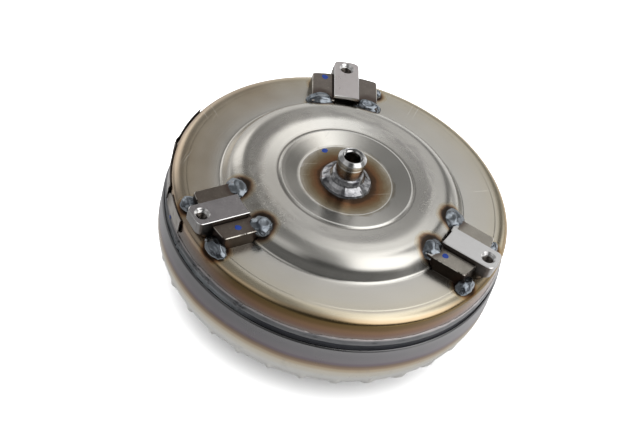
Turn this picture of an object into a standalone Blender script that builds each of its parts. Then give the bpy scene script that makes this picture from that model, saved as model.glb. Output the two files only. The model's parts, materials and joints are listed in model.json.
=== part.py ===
"""Torque converter: a welded housing with its impeller, a turbine with a lock-up clutch and
damper, and a stator on a one-way clutch.

Metres, +Z up. The shaft axis is the Z axis, +Z points at the engine (pilot) side, and the
origin is the centre of the impeller hub's end face, where the object stands. Heights inside a
turned profile are written in millimetres from the cover's flat annulus, because most of the
pieces stack up from there; turned() moves them up by ANNULUS_HEIGHT.
"""

import math

import bmesh
import bpy
from mathutils import Matrix, Vector

MM = 0.001
FINE = 40  # sides of the housing's round pieces
MEDIUM = 32  # sides of the round pieces inside it
SMALL = 24  # sides of the narrow pieces near the shaft
ANNULUS_HEIGHT = 111.0  # the cover's flat annulus above the hub's end face
GAP = 0.3  # clearance left between touching neighbours

# Cover
COVER_R = 131.0
COVER_SHEET = 4.5
SHOULDER_R = 7.0
SKIRT_END = -34.0

# Pilot
PILOT_R = 10.5
PILOT_COLLAR_R = 10.9
PILOT_BORE_R = 6.2
PILOT_TOP = 37.2
DISC_TOP = 11.0

# Drive lugs
LUG_ANGLES = (-18.6, 101.4, 221.4)
LUG_BAR = (86.0, 131.5)
LUG_BAR_WIDTH = 20.0
LUG_BAR_TOP = 15.0
LUG_WING_END_R = 120.0  # the outer ends follow an arc about the shaft
LUG_WING_HALF = 25.0
LUG_WING_TOP = 11.0
LUG_HOLE_AT = 123.5
LUG_HOLE_R = 4.3

# Balance weights: first angle and last angle in degrees, clearance at the middle
WEIGHTS = ((159.5, 177.5, 0.5), (179.0, 200.5, 0.85), (203.0, 216.0, 0.85))
WEIGHT_SHEET = 1.3
WEIGHT_LOW = -17.0
WEIGHT_TOP = -3.5
WEIGHT_SPRING = 0.3  # how much further the ends stand off

# Impeller shell: lip, then a torus of round section, then a flat web to the hub
LIP_R = 133.5
LIP_TOP = -29.6
SHELL_SHEET = 3.0
LIP_RABBET = -36.0  # the lip is bored out down to here, for the cover's skirt
TORUS_R = 91.5
TORUS_Z = -50.0
SECTION_R = 42.0
WEB_TURN = 50.0  # degrees past the lowest point where the section turns back to flat
WEB_FILLET = 8.0
TORUS_STEPS = 8
CORE_R = 16.0
CORE_STEPS = 3
CORE_SHORT = 4.0  # degrees of section that the blades run past the core ring at each end
BLADE_STEPS = 3
BLADE_SHY = 1.4  # blade edge to shell
BLADE_SHEET = 1.2
IMPELLER_BLADES = 31

# Impeller hub
HUB_R = 22.0
HUB_BORE_R = 18.0
HUB_FLANGE_R = 32.0
HUB_END = -ANNULUS_HEIGHT
SLOT_WIDTH = 12.0
SLOT_DEPTH = 11.0

# Turbine
TURBINE_R = 89.0
TURBINE_Z = -47.5
TURBINE_SECTION = (35.0, 27.0)
TURBINE_SHEET = 1.5
TURBINE_STEPS = 6
TURBINE_CORE = (15.0, 11.0)
TURBINE_BLADES = 29
TURBINE_FLANGE_TOP = -32.3  # the flat the hub is riveted under
RIVETS = 6
RIVET_AT = 44.0
RIVET_R = 2.5
RIVET_HEAD_R = 4.3
RIVET_SIDES = 10
HUB_FLANGE = 4.0
TURBINE_SPLINE = (11.2, 12.6, 20)  # inner radius, root radius, teeth

# Lock-up clutch and damper
PISTON_R = 121.0
PISTON_BORE_R = 27.5
LINING = (98.0, 119.0, -6.7, -5.5)
SPRINGS = 6
SPRING_AT = 110.0
SPRING_Z = -18.2
SPRING_R = 6.0
SPRING_WIRE = 1.5
SPRING_TURNS = 5
SPRING_SPAN = 55.0  # degrees between a spring's ends
SPRING_TAB = 4.0

# Stator and its one-way clutch
STATOR_HUB = (40.0, 50.0)
STATOR_RING = (71.0, 73.5)
STATOR_BLADES = 15
STATOR_TOP = -44.0
STATOR_END = -60.0
OUTER_RACE = (28.2, 39.6)
ROLLERS = 8
ROLLER_R = 3.2
ROLLER_AT = 27.4
INNER_RACE_R = 24.0
STATOR_SPLINE = (14.4, 15.8, 24)

# Thrust bearings
NEEDLES = 10
NEEDLE_R = 1.05
BEARING = (22.5, 36.0)
RACE_SHEET = 1.0

STEEL = ((0.46, 0.44, 0.41), 0.34, 1.0)
DARK_STEEL = ((0.24, 0.22, 0.21), 0.5, 1.0)
BRIGHT_STEEL = ((0.72, 0.71, 0.70), 0.22, 1.0)
WELD = ((0.25, 0.27, 0.31), 0.42, 1.0)
BLADE_STEEL = ((0.55, 0.52, 0.45), 0.36, 1.0)
SPRING_STEEL = ((0.30, 0.31, 0.34), 0.3, 1.0)
ALUMINIUM = ((0.74, 0.74, 0.73), 0.45, 1.0)
FRICTION = ((0.34, 0.25, 0.16), 0.9, 0.0)
BRONZE = ((0.62, 0.45, 0.24), 0.35, 1.0)
SEAL = ((0.05, 0.05, 0.05), 0.6, 0.0)


# ---------------------------------------------------------------- scene and material helpers


def clear_scene():
    for obj in list(bpy.data.objects):
        bpy.data.objects.remove(obj, do_unlink=True)


def finish_object(name, bm, look, parent=None):
    """Turns a bmesh into a named object with its own material and smooth round faces."""
    bmesh.ops.recalc_face_normals(bm, faces=bm.faces)
    mesh = bpy.data.meshes.new(name)
    bm.to_mesh(mesh)
    bm.free()
    obj = bpy.data.objects.new(name, mesh)
    bpy.context.scene.collection.objects.link(obj)
    mesh.shade_smooth()
    mesh.set_sharp_from_angle(angle=math.radians(32))
    if look:
        mesh.materials.append(material(name, look))
    if parent:
        obj.parent = parent
    return obj


def material(name, look):
    colour, roughness, metallic = look
    made = bpy.data.materials.new(name)
    made.use_nodes = True
    shader = made.node_tree.nodes["Principled BSDF"]
    shader.inputs["Base Color"].default_value = (*colour, 1.0)
    shader.inputs["Roughness"].default_value = roughness
    shader.inputs["Metallic"].default_value = metallic
    return made


def axis_empty(name, height=0.0, parent=None):
    """An empty on the shaft axis that a body of pieces hangs from."""
    empty = bpy.data.objects.new(name, None)
    empty.location = (0, 0, height)
    bpy.context.scene.collection.objects.link(empty)
    empty.parent = parent
    return empty


def cut(obj, cutter, operation="DIFFERENCE"):
    """Adds an exact Boolean to obj and hides its cutter."""
    modifier = obj.modifiers.new(f"{operation.lower()}_{cutter.name}", "BOOLEAN")
    modifier.operation = operation
    modifier.solver = "EXACT"
    modifier.object = cutter
    cutter.hide_render = True
    cutter.display_type = "WIRE"
    return obj


# ---------------------------------------------------------------- shape helpers


def arc(centre_r, centre_z, radius, start, end, steps):
    """Points on a circle in the profile plane, from start to end degrees. 0 is outward, 90 is up."""
    width, height = radius if isinstance(radius, tuple) else (radius, radius)
    points = []
    for i in range(steps + 1):
        angle = math.radians(start + (end - start) * i / steps)
        points.append((centre_r + width * math.cos(angle), centre_z + height * math.sin(angle)))
    return points


def turned_mesh(profile, sides=FINE, phase=0.0):
    """A closed (radius, height) outline in millimetres, turned about the Z axis."""
    bm = bmesh.new()
    rings = []
    for radius, height in profile:
        z = (height + ANNULUS_HEIGHT) * MM
        if radius < 1e-6:
            rings.append([bm.verts.new((0, 0, z))])
            continue
        ring = []
        for i in range(sides):
            angle = 2 * math.pi * (i + phase) / sides
            ring.append(bm.verts.new((radius * MM * math.cos(angle), radius * MM * math.sin(angle), z)))
        rings.append(ring)
    for a, b in zip(rings, rings[1:] + rings[:1]):
        for i in range(sides):
            j = (i + 1) % sides
            corners = [a[i % len(a)], a[j % len(a)], b[j % len(b)], b[i % len(b)]]
            corners = list(dict.fromkeys(corners))
            if len(corners) > 2:
                bm.faces.new(corners)
    return bm


def turned(name, profile, look, parent, sides=FINE):
    return finish_object(name, turned_mesh(profile, sides), look, parent)


def band(inner, outer, low, high):
    """The outline of a plain ring."""
    return [(inner, high), (outer, high), (outer, low), (inner, low)]


def add_prism(bm, outline, low, high):
    """Adds the outline, (x, y) in metres, extruded from low to high."""
    bottom = [bm.verts.new((x, y, low)) for x, y in outline]
    top = [bm.verts.new((x, y, high)) for x, y in outline]
    bm.faces.new(list(reversed(bottom)))
    bm.faces.new(top)
    for i in range(len(outline)):
        j = (i + 1) % len(outline)
        bm.faces.new((bottom[i], bottom[j], top[j], top[i]))


def circle(radius, sides, centre=(0.0, 0.0)):
    points = []
    for i in range(sides):
        angle = 2 * math.pi * i / sides
        points.append((centre[0] + radius * math.cos(angle), centre[1] + radius * math.sin(angle)))
    return points


def box_mesh(x, y, z):
    """A block from (x0, x1), (y0, y1), (z0, z1), in millimetres."""
    bm = bmesh.new()
    corners = [(x[0], y[0]), (x[1], y[0]), (x[1], y[1]), (x[0], y[1])]
    add_prism(bm, [(a * MM, b * MM) for a, b in corners], z[0] * MM, z[1] * MM)
    return bm


def spline_cutter(name, spline, low, high):
    """A toothed bar that cuts an internal spline through a hub."""
    tip, root, teeth = spline
    outline = []
    for i in range(teeth):
        for share, radius in ((0.0, tip), (0.38, tip), (0.5, root), (0.88, root)):
            angle = 2 * math.pi * (i + share) / teeth
            outline.append((radius * MM * math.cos(angle), radius * MM * math.sin(angle)))
    bm = bmesh.new()
    add_prism(bm, outline, (low + ANNULUS_HEIGHT) * MM, (high + ANNULUS_HEIGHT) * MM)
    return finish_object(name, bm, None)


def around(bm, angle):
    bmesh.ops.transform(bm, matrix=Matrix.Rotation(math.radians(angle), 4, "Z"), verts=bm.verts)
    return bm


def merge(target, source):
    """Moves every face of the bmesh source into target."""
    copies = {v: target.verts.new(v.co) for v in source.verts}
    for face in source.faces:
        target.faces.new([copies[v] for v in face.verts])
    source.free()


# ---------------------------------------------------------------- housing


def cover_outline():
    """Outer skin from the centre out and down the skirt, then the inner skin back."""
    t = COVER_SHEET
    flat_r = COVER_R - SHOULDER_R
    outer = [(0, DISC_TOP), (35.9, DISC_TOP), (50.5, 14.6), (54, 14.6), (70, 13.6), (82.5, 12.0)]
    outer += [(84.5, 11.2), (94, 1.2), (95.7, 0)]
    outer += arc(flat_r, -SHOULDER_R, SHOULDER_R, 90, 0, 3)
    outer += [(COVER_R, SKIRT_END)]
    inner = [(COVER_R - t, SKIRT_END)]
    inner += arc(flat_r, -SHOULDER_R, SHOULDER_R - t, 0, 90, 2)
    inner += [(94.2, -t), (91.4, -3.2), (81.6, 7.4), (70, 9.0), (51.5, 10.1)]
    inner += [(35.2, DISC_TOP - t), (0, DISC_TOP - t)]
    return outer + inner


def build_front_cover(root):
    return turned("front_cover", cover_outline(), STEEL, root)


def build_pilot(root):
    base = DISC_TOP + GAP
    chamfer = 8.3
    outline = [(chamfer, PILOT_TOP), (PILOT_COLLAR_R, PILOT_TOP - 1.6)]
    outline += [(PILOT_COLLAR_R, PILOT_TOP - 4.5), (PILOT_R, PILOT_TOP - 4.9)]
    outline += [(PILOT_R, base), (PILOT_BORE_R, base), (PILOT_BORE_R, PILOT_TOP - 2.2)]
    turned("pilot_hub", outline, BRIGHT_STEEL, root, SMALL)
    weld = [(PILOT_R + GAP, DISC_TOP + 9.5), (12.6, DISC_TOP + 7.5), (16.2, DISC_TOP + 3.0)]
    weld += [(20.0, DISC_TOP + GAP), (PILOT_R + GAP, DISC_TOP + GAP)]
    turned("pilot_weld", weld, WELD, root, SMALL)


def lug_inner_cutter():
    """Trims the lugs' inner ends to one arc about the shaft axis, clear of the cover's slope."""
    outline = [(70, 18), (89.6, 18), (88.0, 9.5), (91.0, 9.0), (97.6, 0.0), (97.6, -2), (70, -2)]
    return finish_object("lug_inner_cutter", turned_mesh(outline, FINE), None)


def wing_outline():
    """The lower block from above: outer ends on an arc about the shaft, corners taken off."""
    corner, steps = 2.0, 6
    reach = LUG_WING_HALF - corner
    points = [(LUG_BAR[0], -LUG_WING_HALF)]
    points.append((math.sqrt(LUG_WING_END_R**2 - LUG_WING_HALF**2) - corner, -LUG_WING_HALF))
    for i in range(steps + 1):
        side = reach * (2 * i / steps - 1)
        points.append((math.sqrt(LUG_WING_END_R**2 - side**2), side))
    points.append((points[1][0], LUG_WING_HALF))
    points.append((LUG_BAR[0], LUG_WING_HALF))
    return points


def build_drive_lug(index, angle, cutter, root):
    """One lug: a raised bar over a lower, wider block, with a threaded hole near its outer end."""
    lug = axis_empty(f"drive_lug_{index}_place", ANNULUS_HEIGHT * MM, root)
    lug.rotation_euler = (0, 0, math.radians(angle))
    half = LUG_BAR_WIDTH / 2
    bar_outline = [(LUG_BAR[0], -half), (LUG_BAR[1] - 4, -half)]
    bar_outline += [(LUG_BAR[1], 4 - half), (LUG_BAR[1], half - 4)]
    bar_outline += [(LUG_BAR[1] - 4, half), (LUG_BAR[0], half)]
    bar = bmesh.new()
    add_prism(bar, [(x * MM, y * MM) for x, y in bar_outline], GAP * MM, LUG_BAR_TOP * MM)
    body = finish_object(f"drive_lug_{index}", bar, BRIGHT_STEEL, lug)
    block = bmesh.new()
    outline = [(x * MM, y * MM) for x, y in wing_outline()]
    add_prism(block, outline, GAP * MM, LUG_WING_TOP * MM)
    wings = finish_object(f"lug_wings_{index}", block, None, lug)
    hole = bmesh.new()
    at = (LUG_HOLE_AT * MM, 0.0)
    add_prism(hole, circle(LUG_HOLE_R * MM, 16, at), -5 * MM, (LUG_BAR_TOP + 5) * MM)
    hole_cutter = finish_object(f"lug_hole_{index}", hole, None, lug)
    cut(body, wings, "UNION")
    cut(body, cutter)
    cut(body, hole_cutter)


def build_balance_weight(index, span, root):
    """A thin plate wrapped on the skirt, its ends standing a little off the wall."""
    first, last, clearance = span
    steps = 4
    bm = bmesh.new()
    sections = []
    for i in range(steps + 1):
        share = i / steps
        angle = math.radians(first + (last - first) * share)
        inner = COVER_R + clearance + WEIGHT_SPRING * (2 * share - 1) ** 4
        outer = inner + WEIGHT_SHEET
        heights = (
            (inner, WEIGHT_LOW),
            (outer, WEIGHT_LOW),
            (outer, WEIGHT_TOP),
            (inner, WEIGHT_TOP),
        )
        sections.append(
            [
                bm.verts.new(
                    (
                        r * MM * math.cos(angle),
                        r * MM * math.sin(angle),
                        (z + ANNULUS_HEIGHT) * MM,
                    )
                )
                for r, z in heights
            ]
        )
    for a, b in zip(sections, sections[1:]):
        for i in range(4):
            j = (i + 1) % 4
            bm.faces.new((a[i], a[j], b[j], b[i]))
    bm.faces.new(sections[0])
    bm.faces.new(sections[-1])
    finish_object(f"balance_weight_{index}", bm, STEEL, root)


def build_closure_weld(root):
    wall = COVER_R + GAP
    floor = LIP_TOP + GAP
    outline = [(wall, -20.5), (132.4, -21.8), (133.0, -24.5), (132.2, -26.6), (133.1, floor)]
    outline += [(wall, floor)]
    turned("closure_weld", outline, WELD, root)


def shell_outline():
    """Lip and torus down the outside to the flat web, then back up the inside."""
    t = SHELL_SHEET
    end = -90 - WEB_TURN
    turn = math.radians(WEB_TURN)
    outer = [(LIP_R, LIP_TOP)]
    outer += arc(TORUS_R, TORUS_Z, SECTION_R, 0, end, TORUS_STEPS)
    last_r, last_z = outer[-1]
    web_r = last_r - WEB_FILLET * math.sin(turn)
    web_z = last_z + WEB_FILLET * (1 - math.cos(turn))
    outer += [(web_r, web_z), (HUB_R + 0.4, web_z)]
    inner = [(HUB_R + 0.4, web_z + t), (web_r - 1.0, web_z + t)]
    inner += list(reversed(arc(TORUS_R, TORUS_Z, SECTION_R - t, 0, end, TORUS_STEPS)))
    rabbet = COVER_R + GAP
    inner += [(LIP_R - t, LIP_RABBET - 1), (rabbet, LIP_RABBET), (rabbet, LIP_TOP)]
    return outer + inner, web_z


def build_impeller_hub(web_z, root):
    """The tube that runs in the pump's bush, its flange inside the shell's web."""
    seat = web_z + SHELL_SHEET + GAP
    top = seat + 5.0
    outline = [(HUB_BORE_R, top), (HUB_FLANGE_R, top), (HUB_FLANGE_R, seat), (HUB_R, seat)]
    outline += [(HUB_R, HUB_END + 1.5), (HUB_R - 1.5, HUB_END), (HUB_BORE_R, HUB_END)]
    hub = turned("impeller_hub", outline, BRIGHT_STEEL, root, MEDIUM)
    half = SLOT_WIDTH / 2
    slot = box_mesh((-30, 30), (-half, half), (-5, SLOT_DEPTH))
    cut(hub, finish_object("drive_slot_cutter", slot, None, root))
    weld = [(HUB_R + GAP, web_z - GAP), (HUB_R + 4.5, web_z - GAP), (HUB_R + 3.6, web_z - 2.0)]
    weld += [(HUB_R + GAP, web_z - 4.2)]
    turned("hub_weld", weld, WELD, root, SMALL)
    return top


# ---------------------------------------------------------------- bladed wheels


def blade_mesh(centre, outer, core, angles, twist):
    """One sheet blade between two concentric sections of a torus.

    angles are the first and last section angle; twist is the angle about the shaft, in
    degrees, that the blade leads by along its length.
    """
    bm = bmesh.new()
    rows = []
    for i in range(BLADE_STEPS + 1):
        share = i / BLADE_STEPS
        section = math.radians(angles[0] + (angles[1] - angles[0]) * share)
        lead = math.radians(twist * math.sin(math.pi * share) + twist * 0.6 * share)
        row = []
        for width, height in (outer, core):
            radius = centre[0] + width * math.cos(section)
            z = centre[1] + height * math.sin(section) + ANNULUS_HEIGHT
            for side in (-1, 1):
                angle = lead + side * BLADE_SHEET / 2 / radius
                spot = (radius * MM * math.cos(angle), radius * MM * math.sin(angle), z * MM)
                row.append(bm.verts.new(spot))
        rows.append(row)
    for a, b in zip(rows, rows[1:]):
        for i, j in ((0, 1), (1, 3), (3, 2), (2, 0)):
            bm.faces.new((a[i], a[j], b[j], b[i]))
    for row in (rows[0], rows[-1]):
        bm.faces.new((row[0], row[1], row[3], row[2]))
    return bm


def bladed_ring(name, centre, outer, core, angles, count, twist, root, first):
    """All the blades of a wheel, held by one core ring.

    first is the first blade's place in degrees times count / 360. The core ring has a facet
    to each blade, and first keeps the blades clear of the facets' edges.
    """
    sheet = 1.4
    short = math.copysign(CORE_SHORT, angles[1] - angles[0])
    start, end = angles[0] + short, angles[1] - short
    shell = arc(*centre, core, start, end, CORE_STEPS)
    thin = (core[0] - sheet, core[1] - sheet)
    lining = arc(*centre, thin, end, start, CORE_STEPS)
    ring = turned(name, shell + lining, BLADE_STEEL, root, count)
    reach = (core[0] - sheet * 0.6, core[1] - sheet * 0.6)
    blades = bmesh.new()
    for i in range(count):
        blade = blade_mesh(centre, outer, reach, angles, twist)
        merge(blades, around(blade, 360.0 * (i + first) / count))
    cut(ring, finish_object(f"{name}_sheets", blades, None, root), "UNION")


def build_impeller(root):
    outline, web_z = shell_outline()
    turned("impeller_shell", outline, STEEL, root)
    reach = SECTION_R - SHELL_SHEET - BLADE_SHY
    bladed_ring(
        "impeller_blades",
        (TORUS_R, TORUS_Z),
        (reach, reach),
        (CORE_R, CORE_R),
        (-4, -146),
        IMPELLER_BLADES,
        -7.0,
        root,
        0.88,
    )
    return web_z


# ---------------------------------------------------------------- turbine


def build_turbine(root):
    wide, high = TURBINE_SECTION
    t = TURBINE_SHEET
    flange_top = TURBINE_FLANGE_TOP
    outer = arc(TURBINE_R, TURBINE_Z, TURBINE_SECTION, 0, 146, TURBINE_STEPS)
    outer += [(50, flange_top), (RIVET_AT - 8, flange_top)]
    inner = [(RIVET_AT - 8, flange_top - t), (51, flange_top - t)]
    inner += list(reversed(arc(TURBINE_R, TURBINE_Z, (wide - t, high - t), 0, 146, TURBINE_STEPS)))
    outline = list(reversed(outer + inner))
    shell = turned("turbine_shell", outline, BLADE_STEEL, root, MEDIUM)
    bladed_ring(
        "turbine_blades",
        (TURBINE_R, TURBINE_Z),
        (wide - t - BLADE_SHY, high - t - BLADE_SHY),
        TURBINE_CORE,
        (4, 142),
        TURBINE_BLADES,
        11.0,
        root,
        0.3,
    )
    hub = build_turbine_hub(flange_top - t - GAP, root)
    holes = bmesh.new()
    for i in range(RIVETS):
        angle = math.radians(360.0 * i / RIVETS)
        at = (RIVET_AT * MM * math.cos(angle), RIVET_AT * MM * math.sin(angle))
        add_prism(
            holes,
            circle((RIVET_R + GAP) * MM, RIVET_SIDES, at),
            (flange_top - 10 + ANNULUS_HEIGHT) * MM,
            (flange_top + 4 + ANNULUS_HEIGHT) * MM,
        )
    hole_cutter = finish_object("rivet_hole_cutter", holes, None, root)
    cut(shell, hole_cutter)
    cut(hub, hole_cutter)
    for i in range(RIVETS):
        build_rivet(i + 1, 360.0 * i / RIVETS, flange_top, root)


def build_turbine_hub(flange_top, root):
    """Boss for the piston, flange for the shell, and a splined bore for the input shaft."""
    groove = (-2.0, -4.4)
    outline = [(9, 2.4), (26, 2.4), (27, 1.4), (27, groove[0]), (24.8, groove[0])]
    outline += [(24.8, groove[1]), (27, groove[1]), (27, flange_top), (51.5, flange_top)]
    outline += [(51.5, flange_top - HUB_FLANGE), (9, flange_top - HUB_FLANGE)]
    hub = turned("turbine_hub", outline, BRIGHT_STEEL, root, MEDIUM)
    cut(hub, spline_cutter("turbine_spline_cutter", TURBINE_SPLINE, flange_top - 9, 8))
    return hub


def build_rivet(index, angle, flange_top, root):
    """A rivet with a head on each side of the shell and the hub flange."""
    head, shank = RIVET_HEAD_R, RIVET_R
    top = flange_top + GAP
    bottom = flange_top - TURBINE_SHEET - GAP - HUB_FLANGE - GAP
    outline = [(0, top + 1.6), (head - 1, top + 1.6), (head, top), (shank, top)]
    outline += [(shank, bottom), (head, bottom), (head - 1, bottom - 1.2), (0, bottom - 1.2)]
    rivet = turned_mesh(outline, RIVET_SIDES)
    obj = finish_object(f"turbine_rivet_{index}", rivet, STEEL, root)
    turn = math.radians(angle)
    obj.location = (RIVET_AT * MM * math.cos(turn), RIVET_AT * MM * math.sin(turn), 0)


def build_damper_ring(root):
    """The ring on the turbine's back whose six tabs push the damper springs."""
    low, high = -20.0, -18.2
    ring = turned("damper_drive_ring", band(91.0, 102.0, low, high), DARK_STEEL, root, MEDIUM)
    tabs = bmesh.new()
    half = SPRING_TAB / 2
    for i in range(SPRINGS):
        height = (low + ANNULUS_HEIGHT, -13.6 + ANNULUS_HEIGHT)
        tab = box_mesh((98.5, 111.0), (-half, half), height)
        merge(tabs, around(tab, 360.0 * i / SPRINGS))
    cut(ring, finish_object("damper_tabs", tabs, None, root), "UNION")


# ---------------------------------------------------------------- lock-up clutch


def build_piston(root):
    t = 3.0
    top = [(PISTON_BORE_R, 1.5), (77.5, 1.5), (87, -7), (PISTON_R, -7)]
    under = [(PISTON_R, -7 - t), (86, -7 - t), (76.5, 1.5 - t), (31, 1.5 - t)]
    under += [(31, -7), (PISTON_BORE_R, -7)]
    turned("lockup_piston", top + under, DARK_STEEL, root, MEDIUM)
    inner, outer, low, high = LINING
    turned("friction_lining", band(inner, outer, low, high), FRICTION, root, MEDIUM)


def build_spring_retainer(root):
    """Channel under the piston that keeps the springs in line, with six end stops."""
    top, sheet = -10.3, 1.5
    outline = [(96, top), (120, top), (120, -22), (120 - sheet, -22), (120 - sheet, top - sheet)]
    outline += [(96, top - sheet)]
    retainer = turned("spring_retainer", outline, DARK_STEEL, root, MEDIUM)
    stops = bmesh.new()
    half = SPRING_TAB / 2
    for i in range(SPRINGS):
        height = (-21.5 + ANNULUS_HEIGHT, top - sheet / 2 + ANNULUS_HEIGHT)
        stop = box_mesh((112.0, 119.2), (-half, half), height)
        merge(stops, around(stop, 360.0 * i / SPRINGS))
    cut(retainer, finish_object("retainer_stops", stops, None, root), "UNION")


def spring_mesh():
    """A round-wire coil whose axis follows the damper's pitch circle."""
    per_turn, wire_sides = 7, 4
    count = SPRING_TURNS * per_turn
    bm = bmesh.new()
    rings = []
    for i in range(count + 1):
        share = i / count
        along = math.radians((share - 0.5) * SPRING_SPAN)
        coil = 2 * math.pi * SPRING_TURNS * share
        out = Vector((math.cos(along), math.sin(along), 0))
        up = Vector((0, 0, 1))
        radial = out * math.cos(coil) + up * math.sin(coil)
        forward = Vector((-math.sin(along), math.cos(along), 0))
        centre = out * SPRING_AT + up * (SPRING_Z + ANNULUS_HEIGHT)
        centre = centre + radial * (SPRING_R - SPRING_WIRE)
        ring = []
        for k in range(wire_sides):
            angle = 2 * math.pi * k / wire_sides
            offset = radial * math.cos(angle) + forward * math.sin(angle)
            ring.append(bm.verts.new((centre + offset * SPRING_WIRE) * MM))
        rings.append(ring)
    for a, b in zip(rings, rings[1:]):
        for k in range(wire_sides):
            j = (k + 1) % wire_sides
            bm.faces.new((a[k], a[j], b[j], b[k]))
    bm.faces.new(rings[0])
    bm.faces.new(rings[-1])
    return bm


def build_springs(root):
    for i in range(SPRINGS):
        spring = around(spring_mesh(), 360.0 * (i + 0.5) / SPRINGS)
        finish_object(f"damper_spring_{i + 1}", spring, SPRING_STEEL, root)


# ---------------------------------------------------------------- stator


def airfoil(chord, thick, camber):
    """A closed section: blunt nose at the top, thin tail at the bottom. Points are (side, along)."""
    stations = ((0.0, 0.4), (0.2, 1.0), (0.6, 0.7), (1.0, 0.14))
    right, left = [], []
    for share, width in stations:
        middle = camber * math.sin(math.pi * share) + chord * 0.42 * share
        right.append((middle + thick / 2 * width, -chord * share))
        left.append((middle - thick / 2 * width, -chord * share))
    return right + list(reversed(left))


def stator_blade():
    bm = bmesh.new()
    rows = []
    middle = (STATOR_TOP + STATOR_END) / 2
    for radius, scale in ((STATOR_HUB[1] - 1.0, 0.94), (STATOR_RING[0] + 1.0, 1.08)):
        row = []
        for side, along in airfoil(13.0 * scale, 3.6, 2.2):
            z = middle + 6.5 * scale + along + ANNULUS_HEIGHT
            angle = (side - 4.0) / radius
            spot = (radius * MM * math.cos(angle), radius * MM * math.sin(angle), z * MM)
            row.append(bm.verts.new(spot))
        rows.append(row)
    count = len(rows[0])
    for i in range(count):
        j = (i + 1) % count
        bm.faces.new((rows[0][i], rows[0][j], rows[1][j], rows[1][i]))
    bm.faces.new(rows[0])
    bm.faces.new(rows[1])
    return bm


def build_stator(root):
    outline = band(*STATOR_HUB, STATOR_END, STATOR_TOP)
    hub = turned("stator_wheel", outline, ALUMINIUM, root, 2 * STATOR_BLADES)
    outer = band(*STATOR_RING, STATOR_END + 1, STATOR_TOP - 1)
    ring_mesh = turned_mesh(outer, 2 * STATOR_BLADES)
    ring = finish_object("stator_outer_ring", ring_mesh, None, root)
    blades = bmesh.new()
    for i in range(STATOR_BLADES):
        merge(blades, around(stator_blade(), 360.0 * i / STATOR_BLADES))
    cut(hub, finish_object("stator_vanes", blades, None, root), "UNION")
    cut(hub, ring, "UNION")


def build_one_way_clutch(root):
    """Outer race with eight roller pockets, its rollers and the two end caps."""
    low, high = STATOR_END + 1.2, STATOR_TOP - 1.2
    race = turned("clutch_outer_race", band(*OUTER_RACE, low, high), DARK_STEEL, root, MEDIUM)
    pockets = bmesh.new()
    for i in range(ROLLERS):
        pocket = bmesh.new()
        at = (ROLLER_AT * MM, 0.0)
        bottom, top = (low - 2 + ANNULUS_HEIGHT) * MM, (high + 2 + ANNULUS_HEIGHT) * MM
        add_prism(pocket, circle((ROLLER_R + 0.5) * MM, 12, at), bottom, top)
        merge(pockets, around(pocket, 360.0 * i / ROLLERS))
    cut(race, finish_object("roller_pockets", pockets, None, root))
    for i in range(ROLLERS):
        roller = bmesh.new()
        outline = circle(ROLLER_R * MM, 12)
        add_prism(
            roller,
            outline,
            (low + 0.4 + ANNULUS_HEIGHT) * MM,
            (high - 0.4 + ANNULUS_HEIGHT) * MM,
        )
        obj = finish_object(f"clutch_roller_{i + 1}", roller, BRIGHT_STEEL, root)
        turn = math.radians(360.0 * i / ROLLERS)
        obj.location = (ROLLER_AT * MM * math.cos(turn), ROLLER_AT * MM * math.sin(turn), 0)
    caps = (
        ("turbine_side", high + GAP, STATOR_TOP + 0.4),
        ("impeller_side", STATOR_END - 0.4, low - GAP),
    )
    for side, bottom, top in caps:
        cap = band(INNER_RACE_R + 0.6, STATOR_HUB[0] - GAP, bottom, top)
        turned(f"clutch_cap_{side}", cap, BRONZE, root, MEDIUM)


def build_inner_race(root):
    outline = band(10, INNER_RACE_R, STATOR_END + 0.3, STATOR_TOP - 0.3)
    race = turned("clutch_inner_race", outline, BRIGHT_STEEL, root, MEDIUM)
    cutter = spline_cutter(
        "stator_spline_cutter", STATOR_SPLINE, STATOR_END - 3, STATOR_TOP + 3
    )
    cut(race, cutter)


# ---------------------------------------------------------------- thrust bearings


def build_needle_cage(name, middle, root):
    """A cage plate with its radial needles standing proud on both faces."""
    inner, outer = BEARING
    plate = band(inner + 1, outer - 1, middle - 0.5, middle + 0.5)
    cage = turned(name, plate, BRONZE, root, 2 * NEEDLES)
    needles = bmesh.new()
    for i in range(NEEDLES):
        needle = bmesh.new()
        outline = circle(NEEDLE_R * MM, 6)
        add_prism(needle, outline, (inner + 3) * MM, (outer - 3) * MM)
        upright = Matrix.Rotation(math.radians(90), 4, "Y")
        lift = Matrix.Translation((0, 0, (middle + ANNULUS_HEIGHT) * MM))
        bmesh.ops.transform(needle, matrix=lift @ upright, verts=needle.verts)
        merge(needles, around(needle, 360.0 * (i + 0.5) / NEEDLES))
    cut(cage, finish_object(f"{name}_needles", needles, None, root), "UNION")


def build_race(name, low, high, root):
    turned(name, band(*BEARING, low, high), BRIGHT_STEEL, root, SMALL)


# ---------------------------------------------------------------- assembly


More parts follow.
